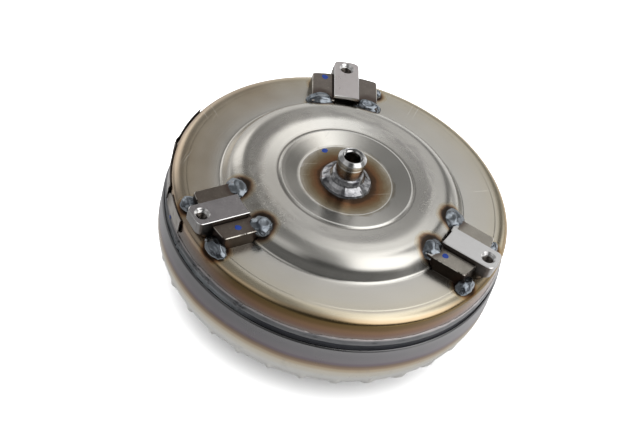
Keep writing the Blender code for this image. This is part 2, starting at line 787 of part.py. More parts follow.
def main():
    clear_scene()
    housing = axis_empty("housing")
    turbine = axis_empty("turbine", parent=housing)
    clutch = axis_empty("lockup_clutch", parent=turbine)
    stator = axis_empty("stator", parent=housing)

    build_front_cover(housing)
    build_pilot(housing)
    trimmer = lug_inner_cutter()
    for index, angle in enumerate(LUG_ANGLES, 1):
        build_drive_lug(index, angle, trimmer, housing)
    for index, span in enumerate(WEIGHTS, 1):
        build_balance_weight(index, span, housing)
    build_closure_weld(housing)
    web_z = build_impeller(housing)
    hub_top = build_impeller_hub(web_z, housing)

    build_turbine(turbine)
    build_damper_ring(turbine)
    turned("cover_thrust_washer", band(15, 25.5, 2.7, 6.0), BRONZE, turbine, MEDIUM)
    turned("piston_seal_ring", band(25.2, 27.3, -4.1, -2.3), SEAL, clutch, MEDIUM)
    build_piston(clutch)
    build_spring_retainer(clutch)
    build_springs(clutch)

    build_stator(stator)
    build_one_way_clutch(stator)
    build_inner_race(stator)
    flange_end = TURBINE_FLANGE_TOP - TURBINE_SHEET - GAP - HUB_FLANGE
    race_top = flange_end - GAP
    build_race("turbine_bearing_race", race_top - RACE_SHEET, race_top, turbine)
    build_needle_cage("turbine_bearing_cage", flange_end - 3.0, stator)
    race_foot = hub_top + GAP
    build_race("impeller_bearing_race", race_foot, race_foot + RACE_SHEET, housing)
    build_needle_cage("impeller_bearing_cage", hub_top + 3.0, stator)


main()
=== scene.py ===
import json
from math import asin, atan2, ceil, copysign, cos, degrees, exp, hypot, pi, radians, sin, sqrt
from math import tan, tau

import bmesh
import bpy
from mathutils import Matrix, Vector, noise


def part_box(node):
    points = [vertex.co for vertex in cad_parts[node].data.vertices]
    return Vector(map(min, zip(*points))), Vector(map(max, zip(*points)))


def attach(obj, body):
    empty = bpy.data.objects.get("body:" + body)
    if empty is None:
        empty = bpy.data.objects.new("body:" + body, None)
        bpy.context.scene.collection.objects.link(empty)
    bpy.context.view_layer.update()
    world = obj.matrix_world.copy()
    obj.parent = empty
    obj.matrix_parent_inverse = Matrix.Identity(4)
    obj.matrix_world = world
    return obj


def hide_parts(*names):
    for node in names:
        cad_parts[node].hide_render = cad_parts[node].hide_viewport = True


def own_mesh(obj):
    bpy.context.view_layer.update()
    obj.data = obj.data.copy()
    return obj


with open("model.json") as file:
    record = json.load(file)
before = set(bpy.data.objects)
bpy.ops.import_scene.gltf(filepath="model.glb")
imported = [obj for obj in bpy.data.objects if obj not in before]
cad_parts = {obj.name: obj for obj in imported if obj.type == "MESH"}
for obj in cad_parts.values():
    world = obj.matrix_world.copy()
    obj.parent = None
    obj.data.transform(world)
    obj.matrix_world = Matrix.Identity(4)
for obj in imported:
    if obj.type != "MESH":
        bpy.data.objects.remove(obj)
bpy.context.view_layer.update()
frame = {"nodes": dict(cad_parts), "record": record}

MM = 0.001
GAP = 0.3  # what the CAD leaves between touching neighbours

# Millimetres throughout. Heights are measured from the cover's flat annulus.
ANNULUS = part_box("drive_lug_1")[0].z / MM - GAP


def cad(node):
    """(outer radius, lowest height, highest height) of a CAD node."""
    low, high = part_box(node)
    return high.x / MM, low.z / MM - ANNULUS, high.z / MM - ANNULUS


COVER_R, SKIRT_END, COVER_TOP = cad("front_cover")
PILOT_COLLAR_R, pilot_foot, PILOT_TOP = cad("pilot_hub")
DISC_TOP = pilot_foot - GAP
WELD_CONE_R, _, WELD_CONE_TOP = cad("pilot_weld")
BAR_TOP = cad("drive_lug_1")[2]
LIP_R, SHELL_END, LIP_TOP = cad("impeller_shell")
WELD_TOP = cad("closure_weld")[2]
HUB_FLANGE_R, HUB_END, HUB_TOP = cad("impeller_hub")
WEB_UNDER = cad("hub_weld")[2] + GAP
LUG_ANGLES = tuple(
    degrees(atan2(mount["pos_m"][1], mount["pos_m"][0]))
    for mount in frame["record"]["mounts"]
    if mount["name"].startswith("lug_pad")
)

SHEET = 4.5  # cover
SHELL_SHEET = 3
SHOULDER_WIDE, SHOULDER_TALL = 9.8, 5.6
SECTION_R = 42  # of the shell's round section
TORUS_R = LIP_R - SECTION_R
TORUS_Z = SHELL_END + SECTION_R
PILOT_R = 10.5
PILOT_BORE_R = 6.2
HUB_R = 22
HUB_BORE_R = 18
BLADE_TABS = 31
ROUND = 288  # sides of the large turned pieces
WHITE, BLACK = (1, 1, 1), (0, 0, 0)


# -------- shader graph helper


class Value:
    """A shader output socket. The operators + - and * each add a maths node."""

    def __init__(self, graph, socket):
        self.graph, self.socket = graph, socket

    def __add__(self, other):
        return self.graph.math("ADD", self, other)

    def __sub__(self, number):
        return self + -number

    def __mul__(self, other):
        return self.graph.math("MULTIPLY", self, other)


class Graph:
    """A Principled material, or a world, built by short calls that each return a Value."""

    def __init__(self, name, tree=None):
        if not tree:
            self.material = bpy.data.materials.new(name)
            self.material.use_nodes = True
            tree = self.material.node_tree
        self.tree = tree
        self.place = self.node("TexCoord", output="Object")

    def node(self, kind, inputs=(), output=0, **settings):
        """A new shader node's output. inputs holds (name or index, value) pairs."""
        node = self.tree.nodes.new("ShaderNode" + kind)
        for name, value in settings.items():
            setattr(node, name, value)
        self.plug(node, inputs)
        return Value(self, node.outputs[output])

    def plug(self, node, inputs):
        for name, value in inputs:
            socket = node.inputs[name]
            if isinstance(value, Value):
                self.tree.links.new(value.socket, socket)
            elif socket.type == "RGBA":
                socket.default_value = (*value, 1)
            else:
                socket.default_value = value

    def math(self, operation, *values):
        return self.node("Math", enumerate(values), operation=operation)

    def most(self, a, b):
        return self.math("MAXIMUM", a, b)

    def smooth(self, value, low, high, to_low=0, to_high=1):
        """Smooth step from to_low at low to to_high at high."""
        entries = enumerate((value, low, high, to_low, to_high))
        return self.node("MapRange", entries, interpolation_type="SMOOTHSTEP")

    def mix(self, factor, a, b, blend="MIX"):
        pairs = (0, factor), (6, a), (7, b)
        return self.node("Mix", pairs, 2, data_type="RGBA", blend_type=blend)

    def layered(self, colour, *layers):
        """Colours laid over each other, each given as (factor, colour)."""
        for factor, over in layers:
            colour = self.mix(factor, colour, over)
        return colour

    def tinted(self, a, b):
        return self.mix(1, a, b, "MULTIPLY")

    def ramp(self, factor, stops):
        """stops: (position, (r, g, b)), in order."""
        value = self.node("ValToRGB", [(0, factor)])
        ramp = value.socket.node.color_ramp
        ramp.interpolation = "EASE"
        while len(ramp.elements) < len(stops):
            ramp.elements.new(0.5)
        for element, (element.position, colour) in zip(ramp.elements, stops):
            element.color = (*colour, 1)
        return value

    def seen(self):
        """1 for what the camera sees itself, 0 for reflections and bounced light."""
        return self.node("LightPath", output="Is Camera Ray")

    def split(self, vector):
        x = self.node("SeparateXYZ", [(0, vector)])
        return [Value(self, output) for output in x.socket.node.outputs]

    def join(self, *parts):
        return self.node("CombineXYZ", enumerate(parts))

    def noise(self, scale, detail=3, roughness=0.55, distortion=0, at=None):
        """Noise over the object's own coordinates, or over the vector given as at."""
        names = "Vector", "Scale", "Detail", "Roughness", "Distortion"
        values = at or self.place, scale, detail, roughness, distortion
        return self.node("TexNoise", zip(names, values), "Fac")

    def wander(self, size, scale, *more):
        """Noise that swings by size about 0."""
        return (self.noise(scale, *more) - 0.5) * size

    def length(self, x, y):
        return self.math("SQRT", x * x + y * y)

    def polar(self):
        """(radius, angle, height) of the shading point, in millimetres and radians."""
        x, y, z = self.split(self.place)
        return self.length(x, y) * (1 / MM), self.math("ARCTAN2", y, x), z * (1 / MM) - ANNULUS

    def rings(self, polar, across, along, detail=3, roughness=0.7):
        """Noise that runs in fine rings about the shaft axis."""
        radius, angle, height = polar
        x, y = self.math("COSINE", angle) * along, self.math("SINE", angle) * along
        spun = self.join(x, y, (radius + height) * across)
        return self.noise(1, detail, roughness, at=spun)

    def sector(self, angle, middle, half, soft):
        """1 within a sector of the object, in degrees, fading over soft degrees beyond it."""
        facing = self.math("COSINE", angle - radians(middle))
        return self.smooth(facing, cos(radians(half + soft)), cos(radians(half)))

    def band(self, value, low, low_full, high_full, high):
        """1 between low_full and high_full, fading to 0 at low and high."""
        return self.smooth(value, low, low_full) * self.smooth(value, high_full, high, 1, 0)

    def facing(self):
        """How far the surface faces up and how far it faces out, each from -1 to 1."""
        x, y, up = self.split(self.node("NewGeometry", output="Normal"))
        place_x, place_y, _ = self.split(self.place)
        out = x * place_x + y * place_y
        return up, self.math("DIVIDE", out, self.length(place_x, place_y))

    def lug_frame(self):
        """Object coordinates folded into one lug's frame, in millimetres."""
        radius, angle, height = self.polar()
        third = tau / 3
        turned_angle = angle + (third / 2 + tau - radians(LUG_ANGLES[0]))
        folded = self.math("MODULO", turned_angle, third) - third / 2
        x = radius * self.math("COSINE", folded)
        return x, radius * self.math("SINE", folded), height

    def finish(self, colour, roughness, relief=None, metallic=1, **more):
        """The material. relief: (height, strength, distance) of the bump."""
        values = {"Base Color": colour, "Roughness": roughness, "Metallic": metallic, **more}
        if relief:
            names = "Height", "Strength", "Distance"
            values["Normal"] = self.node("Bump", zip(names, relief))
        self.plug(self.tree.nodes["Principled BSDF"], values.items())
        return self.material


def shaded(colour, share):
    return tuple(c * share for c in colour)


# -------- mesh helpers


def rounded(points, spacing=1.6):
    """A dense open polyline through (radius, height[, corner radius]), its corners rounded."""
    corners = [Vector(p[:2]) for p in points]
    line = []
    for i, corner in enumerate(corners):
        fillet = points[i][2] if len(points[i]) > 2 else 0
        if fillet <= 0 or i in (0, len(corners) - 1):
            line.append(corner)
            continue
        back = (corners[i - 1] - corner).normalized()
        ahead = (corners[i + 1] - corner).normalized()
        bend = pi - back.angle(ahead)
        if bend < 1e-4:
            line.append(corner)
            continue
        room = 0.49 * min((corners[i - 1] - corner).length, (corners[i + 1] - corner).length)
        reach = min(fillet * tan(bend / 2), room)
        start, end = corner + back * reach, corner + ahead * reach
        count = max(3, int(degrees(bend) / 7))
        for k in range(count + 1):
            t = k / count
            line.append(start * (1 - t) ** 2 + corner * 2 * t * (1 - t) + end * t * t)
    dense = [line[0]]
    for a, b in zip(line, line[1:]):
        parts = max(1, ceil((b - a).length / spacing))
        dense += [a.lerp(b, (k + 1) / parts) for k in range(parts)]
    return [p for i, p in enumerate(dense) if i == 0 or (p - dense[i - 1]).length > 1e-5]


def beside(radius, height, *points):
    """Outline points given as offsets from one radius and height, with their corner radii."""
    return [(radius + across, height + up, *corner) for across, up, *corner in points]


def link(name, data):
    obj = bpy.data.objects.new(name, data)
    bpy.context.scene.collection.objects.link(obj)
    return obj


def mesh_object(name, vertices, faces, sharp=35):
    mesh = bpy.data.meshes.new(name)
    mesh.from_pydata([tuple(v) for v in vertices], [], faces)
    return tidy(link(name, mesh), sharp)


def bmesh_object(name, bm):
    mesh = bpy.data.meshes.new(name)
    bm.to_mesh(mesh)
    bm.free()
    return link(name, mesh)


def tidy(obj, sharp=35):
    """Faces outward and smooth, with hard edges kept."""
    bm = bmesh.new()
    bm.from_mesh(obj.data)
    bmesh.ops.recalc_face_normals(bm, faces=bm.faces)
    bm.to_mesh(obj.data)
    bm.free()
    obj.data.shade_smooth()
    obj.data.set_sharp_from_angle(angle=radians(sharp))
    return obj


def capped_tube(name, rows, sides, vertices, sharp=35):
    """A closed solid through rows of points, each with the same number of sides."""
    faces = []
    for a in range(0, (rows - 1) * sides, sides):
        for k in range(sides):
            j = (k + 1) % sides
            faces.append((a + k, a + j, a + sides + j, a + sides + k))
    faces.append(tuple(reversed(range(sides))))
    faces.append(tuple(range((rows - 1) * sides, rows * sides)))
    return mesh_object(name, vertices, faces, sharp)


def on_ring(radius, angle, height):
    return radius * MM * cos(angle), radius * MM * sin(angle), (height + ANNULUS) * MM


def turned(name, outline, sides=ROUND, shift=None, sharp=35):
    """Turns a closed outline of (radius, height) about the axis.

    shift(radius, angle, height, index) gives each point's moved radius and height. The outline's
    running length is kept on the points as the attribute "along".
    """
    lengths = [0.0]
    for a, b in zip(outline, outline[1:]):
        lengths.append(lengths[-1] + (Vector(b) - Vector(a)).length)
    vertices, faces, along, starts = [], [], [], []
    for index, (radius, height) in enumerate(outline):
        count = 1 if radius < 1e-6 else sides
        starts.append((len(vertices), count))
        for k in range(count):
            angle = tau * k / sides
            r, z = shift(radius, angle, height, index) if shift and count > 1 else (radius, height)
            vertices.append(on_ring(r, angle, z))
            along.append(lengths[index])
    for (a, na), (b, nb) in zip(starts, starts[1:] + starts[:1]):
        for k in range(sides):
            j = (k + 1) % sides
            corners = tuple(dict.fromkeys((a + k % na, a + j % na, b + j % nb, b + k % nb)))
            if len(corners) > 2:
                faces.append(corners)
    obj = mesh_object(name, vertices, faces, sharp)
    data = obj.data.attributes.new("along", "FLOAT", "POINT").data
    data.foreach_set("value", along)
    return obj


def dress(obj, material, slot, *nodes, body="housing"):
    """Gives a piece its material and its body, and hides the CAD nodes it stands for. The slot
    argument is not used.
    """
    obj.data.materials.clear()
    obj.data.materials.append(material)
    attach(obj, body)
    if nodes:
        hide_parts(*nodes)


def wobble(angle, height, size, seed):
    """A smooth value between about -1 and 1 that varies round the object."""
    return noise.noise(Vector((cos(angle) * size, sin(angle) * size, height * 0.05 + seed)))


def ramp_up(value, full):
    """0 below 0, rising to 1 where value reaches full."""
    return min(1, max(0, value / full))


# -------- materials of the housing

# Weld beads of each lug, in the lug's own frame with x outward: (x, y, z, half sizes along each).
LUG_BEADS = (
    (
        (82.2, 21.6, 8.2, 9.2, 10.6, 5.8), (83.6, -15.5, 8.2, 8.6, 10.2, 5.5),
        (119.6, -24.0, 0.8, 5.8, 9.2, 5.4), (118.2, 24.4, 0.6, 4.2, 6.0, 4.2),
    ),
    (
        (89.3, 19.6, 6.6, 7.6, 10.2, 6.6), (89.6, -18.0, 6.6, 7.2, 10.4, 6.4),
        (113.8, -26.9, 1.0, 4.2, 4.2, 4.4), (115.5, 21.5, 0.4, 3.0, 4.4, 3.2),
    ),
    (
        (82.6, -18.8, 8.2, 8.2, 10.2, 5.6), (83.4, 20.0, 8.6, 9.4, 8.8, 5.4),
        (121.3, 22.4, 0.8, 6.8, 10.6, 5.8), (120.0, -20.8, 0.8, 6.6, 8.4, 5.2),
    ),
)


def heat_round_lugs(g, reach=6.5, ragged=3):
    """0 far from the lug welds, rising to 1 at their edge."""
    x, y, z = g.split(g.place)
    here = g.join(x * (1 / MM), y * (1 / MM), z * (1 / MM) - ANNULUS)
    torn = g.wander(ragged, 160)
    nearest = None
    for angle, beads in zip(LUG_ANGLES, LUG_BEADS):
        c, s = cos(radians(angle)), sin(radians(angle))
        for x, y, z, wide, long, _ in beads:
            ends = enumerate((here, (x * c - y * s, x * s + y * c, z)))
            away = g.node("VectorMath", ends, "Value", operation="DISTANCE") - (wide + long) / 2
            nearest = g.math("SMOOTH_MIN", nearest, away, 3) if nearest else away
    return g.smooth(nearest + torn, -0.5, reach, 1, 0)


def closure_tint(g, path, angle, drift):
    """Temper colours from the closure weld, by distance down the cover's shoulder and skirt, with a
    painted highlight kept on the left-hand side of the shoulder.
    """
    place = (path + drift - SHOULDER_START + 30) * (1 / 60)

    def tint(*stops):
        return g.ramp(place, [((at + 30) / 60, colour) for at, *colour in stops])

    near = tint(
        (-28, 1, 1, 0.99), (-12, 1, 0.98, 0.93), (-2, 1, 0.96, 0.86), (5, 0.98, 0.89, 0.7),
        (8.2, 0.86, 0.68, 0.46), (10, 0.44, 0.32, 0.16), (11.6, 0.22, 0.15, 0.065),
        (14.2, 0.23, 0.145, 0.065), (18.5, 0.34, 0.21, 0.13), (21.5, 0.33, 0.21, 0.165),
        (24.5, 0.34, 0.27, 0.25), (28, 0.33, 0.32, 0.33),
    )
    # On the left the ramp stays light down to 12.5 mm on the shoulder: a painted highlight over the
    # temper colours.
    left = tint(
        (-28, 0.98, 0.965, 0.94), (-12, 0.9, 0.83, 0.73), (0, 0.86, 0.76, 0.62),
        (8, 0.92, 0.77, 0.62), (12.5, 0.92, 0.73, 0.57), (15.5, 0.44, 0.33, 0.27),
        (20, 0.34, 0.295, 0.275), (26, 0.34, 0.33, 0.335),
    )
    return g.mix(g.sector(angle, 180, 38, 28), near, left)


def pilot_tint(g, radius, angle):
    """Burnt ring round the pilot weld, with an irregular edge."""
    swirl = g.wander(8, 55, 4, 0.65, 0.9)
    lean = g.math("COSINE", angle + 0.5) * -1.3
    ring = radius + swirl + lean + (1 - WELD_CONE_R)
    stops = (
        (0, (0.1, 0.065, 0.045)), (0.14, (0.14, 0.08, 0.05)), (0.26, (0.29, 0.15, 0.08)),
        (0.4, (0.33, 0.21, 0.12)), (0.56, (0.39, 0.31, 0.21)), (0.7, (0.5, 0.44, 0.35)),
        (0.8, (0.66, 0.61, 0.53)), (0.98, WHITE),
    )
    return g.ramp(ring * (1 / 20), stops)


def scratches(g):
    """Thin handling scratches in three directions, over the top face only, in patches."""
    x, y, z = g.split(g.place)
    found = None
    for turn, seed in ((0.5, 0), (-0.9, 4), (1.4, 9)):
        u = x * cos(turn) + y * sin(turn)
        v = y * cos(turn) + x * -sin(turn)
        flow = g.join(u * 14, v * 800, seed)
        line = g.smooth(g.noise(1, 1, 0.4, at=flow), 0.7, 0.74)
        found = g.most(found, line) if found else line
    patch = g.smooth(g.noise(18, 1), 0.53, 0.68)
    on_top = g.smooth(z, (ANNULUS - 1.5) * MM, (ANNULUS - 0.6) * MM)
    return found * patch * on_top


def cover_material():
    g = Graph("cover_steel")
    polar = radius, angle, _ = g.polar()

    def patch(middle, half, soft, *reach):
        return g.sector(angle, middle, half, soft) * g.band(radius, *reach)

    blotch = g.noise(26, 4, 0.6, 0.4)
    fine = g.noise(900, 2, 0.6)
    rings = g.rings(polar, 2.2, 1.5)

    # Scuffs that run round the crown where the press tool dragged, in ragged dark streaks; on the
    # near side the faint grey band of the belt is painted shade.
    drag = g.rings(polar, 0.22, 4, 2, 0.5)
    ragged = (g.rings(polar, 0.1, 5, 2, 0.55) - 0.5) * 16
    belt = g.band(radius + ragged, 55, 61, 64.5, 73)
    outer = g.band(radius + ragged * 0.5, 62, 67, 68, 80)
    far_right = g.sector(angle, 45, 30, 34) * 0.75
    # Painted shade: a faint grey band over the belt on the near side of the crown.
    near = g.sector(angle, -80, 26, 30) * 0.2
    far_left = g.sector(angle, 140, 40, 30) * 0.55 * outer
    scuffs_and_shade = g.most(g.most(far_right, near) * belt, far_left) * g.smooth(drag, 0.36, 0.68)

    # Stippled patches of fine pits beside the right-hand lug and round the left-hand one.
    left = patch(-143, 20, 14, 61, 67, 80, 90)
    pits = g.smooth(g.noise(620, 2, 0.5), 0.56, 0.68)
    pitted = g.most(patch(1, 9, 6, 58, 61, 67, 70), left * 0.55) * pits
    mottle = g.smooth(g.noise(130, 3, 0.6), 0.38, 0.68)

    # Painted shade over the left side of the dish, and a painted highlight on a stretch of the
    # crown beyond it, each for the part of the room it reflects.
    dish_shade = patch(-165, 38, 34, 36.5, 39, 46, 49.5)
    crown_highlight = patch(132, 34, 34, 53.5, 55.5, 61, 68)

    # Painted highlight lines at the two creases of the dish, and painted shade in the groove beside
    # the outer one.
    inner = g.band(radius, 35.3, 35.7, 36.2, 36.6)
    crease_highlight = g.most(inner, g.band(radius, 49.9, 50.5, 51.1, 51.7))
    groove_shade = g.band(radius, 51.9, 52.4, 53.4, 53.9)

    # Broad brown stains where oil burned on the left-hand half of the annulus.
    stain = g.smooth(g.noise(11, 3, 0.55, 0.3), 0.46, 0.66)
    stained = stain * g.sector(angle, 172, 62, 40) * g.smooth(radius, 92, 108)

    colour = g.layered(
        g.mix(blotch, (0.52, 0.5, 0.465), (0.61, 0.595, 0.56)),
        (rings * 0.25, (0.68, 0.67, 0.64)),
        (scuffs_and_shade * 0.7, (0.25, 0.23, 0.24)),
        (left * (mottle * 0.36), (0.3, 0.27, 0.235)),
        (pitted * 0.45, (0.78, 0.76, 0.7)),
        # Painted shade on the left of the dish, then a painted highlight on the crown beyond it.
        (dish_shade * 0.46, (0.2, 0.195, 0.18)),
        (crown_highlight * 0.75, (0.83, 0.815, 0.775)),
        # Painted highlight lines on the dish creases, then painted shade in the groove beside them.
        (crease_highlight * 0.45, (0.9, 0.89, 0.86)),
        (groove_shade * 0.6, (0.16, 0.15, 0.14)),
        (stained * 0.4, (0.4, 0.325, 0.235)),
    )
    along = g.node("Attribute", output="Fac", attribute_name="along")
    colour = g.tinted(colour, closure_tint(g, along, angle, g.wander(3.2, 14)))
    # The burnt tint is kept off the painted highlight lines.
    colour = g.tinted(colour, g.mix(crease_highlight * 0.7, pilot_tint(g, radius, angle), WHITE))
    heat = heat_round_lugs(g)
    scorch = (
        (0, WHITE), (0.25, (0.97, 0.92, 0.82)), (0.5, (0.82, 0.7, 0.56)),
        (0.72, (0.54, 0.38, 0.27)), (0.9, (0.22, 0.15, 0.115)), (1, (0.09, 0.07, 0.06)),
    )
    scratch = scratches(g)
    colour = g.mix(scratch * 0.42, g.tinted(colour, g.ramp(heat, scorch)), (0.85, 0.83, 0.78))

    roughness = blotch * 0.12 + 0.185 + (scuffs_and_shade * 0.16 + pitted * 0.1) + heat * 0.12
    relief = rings * 0.5 + (fine * 0.35 + scratch * -0.8) + pitted * 0.7
    return g.finish(colour, roughness, (relief, 0.22, 0.00012))


def bar_material(name, light, dark, rough):
    """Milled top with cross marks; scaly sides painted near black as painted shade; thin bright
    edges that are painted highlights; an outer end painted darker towards its foot.
    """
    g = Graph(name)
    x, y, z = g.lug_frame()
    up, out = g.facing()
    marks = g.noise(1, 3, 0.65, at=g.join(x * 5, y * 0.1, z * 0.4))
    cloud = g.noise(130, 4, 0.6, 0.5)
    nick = g.smooth(g.noise(1, 2, 0.5, at=g.join(x * 0.35, y * 2.4, 3)), 0.7, 0.745)
    top = g.mix(cloud * 0.75 + marks * 0.25, dark, light)
    top = g.mix(nick * 0.5, top, (0.86, 0.85, 0.84))

    scale = g.noise(420, 4, 0.7)
    # The sides are painted near black: painted shade, over a scaly grain.
    side = g.mix(scale, (0.055, 0.045, 0.038), (0.17, 0.15, 0.135))
    streak = g.noise(1, 3, 0.6, at=g.join(y * 2.2, z * 0.12, 0))
    end = g.mix(streak, (0.17, 0.16, 0.155), (0.46, 0.45, 0.44))
    # The end face turns dark brown towards its foot: brown weld remains there, deepened by painted
    # shade.
    end = g.mix(g.smooth(z + cloud * 5, 1.5, 9.5), (0.12, 0.065, 0.04), end)
    # Painted highlight along the top edges.
    edge = g.band(up, 0.3, 0.45, 0.82, 0.93) * g.smooth(z, 11, 12)
    colour = g.layered(
        side,
        (g.smooth(out, 0.55, 0.85), end),
        (g.smooth(out, -0.55, -0.85) * g.smooth(z, 11.5, 12.2), (0.74, 0.73, 0.72)),
        (g.smooth(up, 0.8, 0.95), top),
        (edge * 0.9, (0.9, 0.89, 0.88)),
        (heat_round_lugs(g, 4, 2) * 0.85, (0.1, 0.075, 0.07)),
    )
    roughness = cloud * 0.1 + rough + g.smooth(up, 0.6, 0.3) * 0.1
    relief = marks * 0.5 + (scale * 0.6 + nick * -0.8)
    return g.finish(colour, roughness, (relief, 0.3, 0.0001))


def wing_material(name, dark, light, turned_r=0):
    """Brown-grey grained steel of the lug wings, the sides painted near black as painted shade, a
    painted shadow along the foot of the bar, and painted highlights at the edges.

    Inside turned_r the top was touched by the cut that trimmed the lug's inner end.
    """
    g = Graph(name)
    up = g.facing()[0]
    on_top = g.smooth(up, 0.8, 0.95)
    cloud = g.noise(90, 4, 0.6)
    grain = g.noise(1700, 3, 0.7)
    speck = g.smooth(g.noise(900, 2, 0.5), 0.6, 0.7)
    off_centre = g.math("ABSOLUTE", g.lug_frame()[1])
    top = g.layered(
        g.mix(cloud, dark, light),
        (speck * 0.35, shaded(light, 1.5)),
        # Painted shadow along the foot of the bar.
        (g.smooth(off_centre, BAR_HALF + 1.6, BAR_HALF + 0.5), (0.02, 0.016, 0.014)),
    )
    highlight_patches = g.smooth(g.noise(210, 3, 0.6), 0.36, 0.52)
    bright = g.smooth(g.polar()[0], turned_r, turned_r - 0.6) * on_top
    colour = g.layered(
        # The sides are painted near black as painted shade.
        g.mix(cloud, (0.018, 0.014, 0.011), (0.06, 0.046, 0.036)),
        (on_top, top),
        # Painted highlights along the edges, broken into patches.
        (g.band(up, 0.28, 0.42, 0.84, 0.94) * highlight_patches * 0.9, (0.8, 0.76, 0.68)),
        (heat_round_lugs(g, 5, 2.4) * 0.7, (0.075, 0.05, 0.042)),
        (bright * 0.85, (0.66, 0.655, 0.64)),
    )
    roughness = grain * 0.14 + (bright * -0.08 + 0.29)
    return g.finish(colour, roughness, (grain, 0.4, 0.00012))


def machined_material(name, colour, rough, lines, tint=None):
    """Bright milled or turned steel with fine straight tool marks."""
    g = Graph(name)
    x, y, z = g.split(g.place)
    marks = g.noise(1, 2, 0.6, at=g.join(x * 40, y * lines, z * lines))
    cloud = g.noise(90)
    base = g.mix(cloud, shaded(colour, 0.86), colour)
    if tint:
        base = g.mix(g.smooth(cloud, 0.45, 0.7), base, tint)
    return g.finish(base, marks * 0.12 + rough, (marks, 0.18, 0.00005))


def turned_material(name, colour, rough):
    """Lathe-turned steel: fine rings about the shaft axis, faint stains."""
    g = Graph(name)
    rings = g.rings(g.polar(), 6, 0.8)
    stain = g.smooth(g.noise(140, 4, 0.6, 0.6), 0.42, 0.7)
    base = g.mix(rings, shaded(colour, 0.82), colour)
    base = g.mix(stain * 0.35, base, shaded(colour, 0.55))
    roughness = rings * 0.08 + stain * 0.1 + rough
    return g.finish(base, roughness, (rings, 0.16, 0.00006))


def bead_material(name, dark, light, shine=0.22, size=230, lumps=0.00012):
    """Weld metal: dark glassy skin with lighter patches and a few rusty ones."""
    g = Graph(name)
    cloud = g.noise(size, 3, 0.55, 0.5)
    speck = g.noise(1400, 3, 0.7)
    middle = tuple((a + b) / 2 for a, b in zip(dark, light))
    colour = g.ramp(cloud, [(0.28, dark), (0.52, middle), (0.76, light)])
    rust = g.smooth(g.noise(size * 0.8, 3, 0.6), 0.62, 0.74)
    colour = g.mix(rust * 0.45, colour, (0.2, 0.12, 0.08))
    return g.finish(colour, speck * 0.16 + shine, (speck * 0.25 + cloud, 0.3, lumps))


def closure_material():
    """Closure weld: grey satin bead above a groove painted nearly black as painted shade, crusty
    towards the left, with a painted highlight along the bead's top toe.
    """
    g = Graph("closure_metal")
    polar = _, angle, height = g.polar()
    cloud = g.rings(polar, 0.9, 16, 4, 0.65)
    speck = g.noise(1300, 3, 0.7)
    bead = g.mix(cloud, (0.095, 0.097, 0.102), (0.205, 0.207, 0.212))
    # The groove is painted nearly black: painted shade in the undercut below the bead.
    groove_shade = g.mix(cloud, (0.018, 0.019, 0.022), (0.05, 0.052, 0.06))
    groove_shade = g.mix(g.sector(angle, -166, 42, 22), groove_shade, (0.23, 0.245, 0.26))
    at = height + g.wander(1.6, 45, 2)
    colour = g.mix(g.smooth(at, WELD_TOP - 4.6, WELD_TOP - 3.2), groove_shade, bead)
    # Painted highlight: a light line along the bead's top toe.
    toe = g.smooth(at, WELD_TOP - 0.2, WELD_TOP + 0.9)
    colour = g.mix(toe * 0.75, colour, (0.5, 0.46, 0.45))
    return g.finish(colour, speck * 0.16 + 0.25, (speck * 0.35 + cloud, 0.35, 0.0003))


def shell_material():
    """Impeller shell: grey oxide on the lip, then violet, brown and straw, then bare silver."""
    g = Graph("shell_steel")
    polar = g.polar()
    blotch = g.noise(30, 4, 0.6, 0.5)
    fine = g.noise(800, 2, 0.6)
    rings = g.rings(polar, 3, 1.2)
    colour = g.mix(blotch, (0.56, 0.555, 0.54), (0.65, 0.642, 0.625))
    depth = (polar[2] + g.wander(3, 16)) * -1 - 28
    stops = (
        (0, (0.36, 0.36, 0.375)), (9, (0.315, 0.31, 0.33)), (14.5, (0.33, 0.31, 0.335)),
        (17.5, (0.28, 0.235, 0.27)), (19.2, (0.31, 0.24, 0.2)), (21.2, (0.43, 0.32, 0.235)),
        (24.3, (0.72, 0.6, 0.45)), (28, (0.88, 0.83, 0.73)), (36, (0.96, 0.955, 0.93)),
    )
    colour = g.tinted(colour, g.ramp(depth * (1 / 40), [(at / 40, c) for at, c in stops]))
    dirt = g.smooth(g.noise(60, 4, 0.7), 0.54, 0.7)
    colour = g.mix(dirt * 0.22, colour, (0.22, 0.21, 0.2))
    relief = rings * 0.5 + fine * 0.4
    return g.finish(colour, blotch * 0.12 + 0.23, (relief, 0.22, 0.00012))


def weight_material():
    """Thin sheet of the balance weights, dark on the cut edges."""
    g = Graph("weight_steel")
    cloud = g.noise(60, 4, 0.6)
    grain = g.rings(g.polar(), 3, 3)
    face = g.mix(cloud, (0.31, 0.285, 0.255), (0.46, 0.43, 0.39))
    edge = g.mix(cloud, (0.08, 0.068, 0.058), (0.2, 0.17, 0.15))
    colour = g.mix(g.smooth(g.facing()[1], 0.6, 0.86), edge, face)
    return g.finish(colour, grain * 0.14 + 0.24, (grain, 0.25, 0.00008))


def paint_material():
    g = Graph("blue_paint")
    cloud = g.noise(700)
    colour = g.mix(cloud, (0.004, 0.035, 0.27), (0.008, 0.08, 0.55))
    return g.finish(colour, 0.42, (cloud, 0.2, 0.0001), 0)


# -------- cover

CREASE_R = 119.8  # faint step in the annulus
SHOULDER_STEPS = 18


def shoulder_points():
    """The rounded edge between annulus and skirt, a flat quarter ellipse."""
    turns = [radians(90 - 90 * k / SHOULDER_STEPS) for k in range(SHOULDER_STEPS + 1)]
    x, y = COVER_R - SHOULDER_WIDE, -0.12 - SHOULDER_TALL
    return [(x + SHOULDER_WIDE * cos(turn), y + SHOULDER_TALL * sin(turn)) for turn in turns]


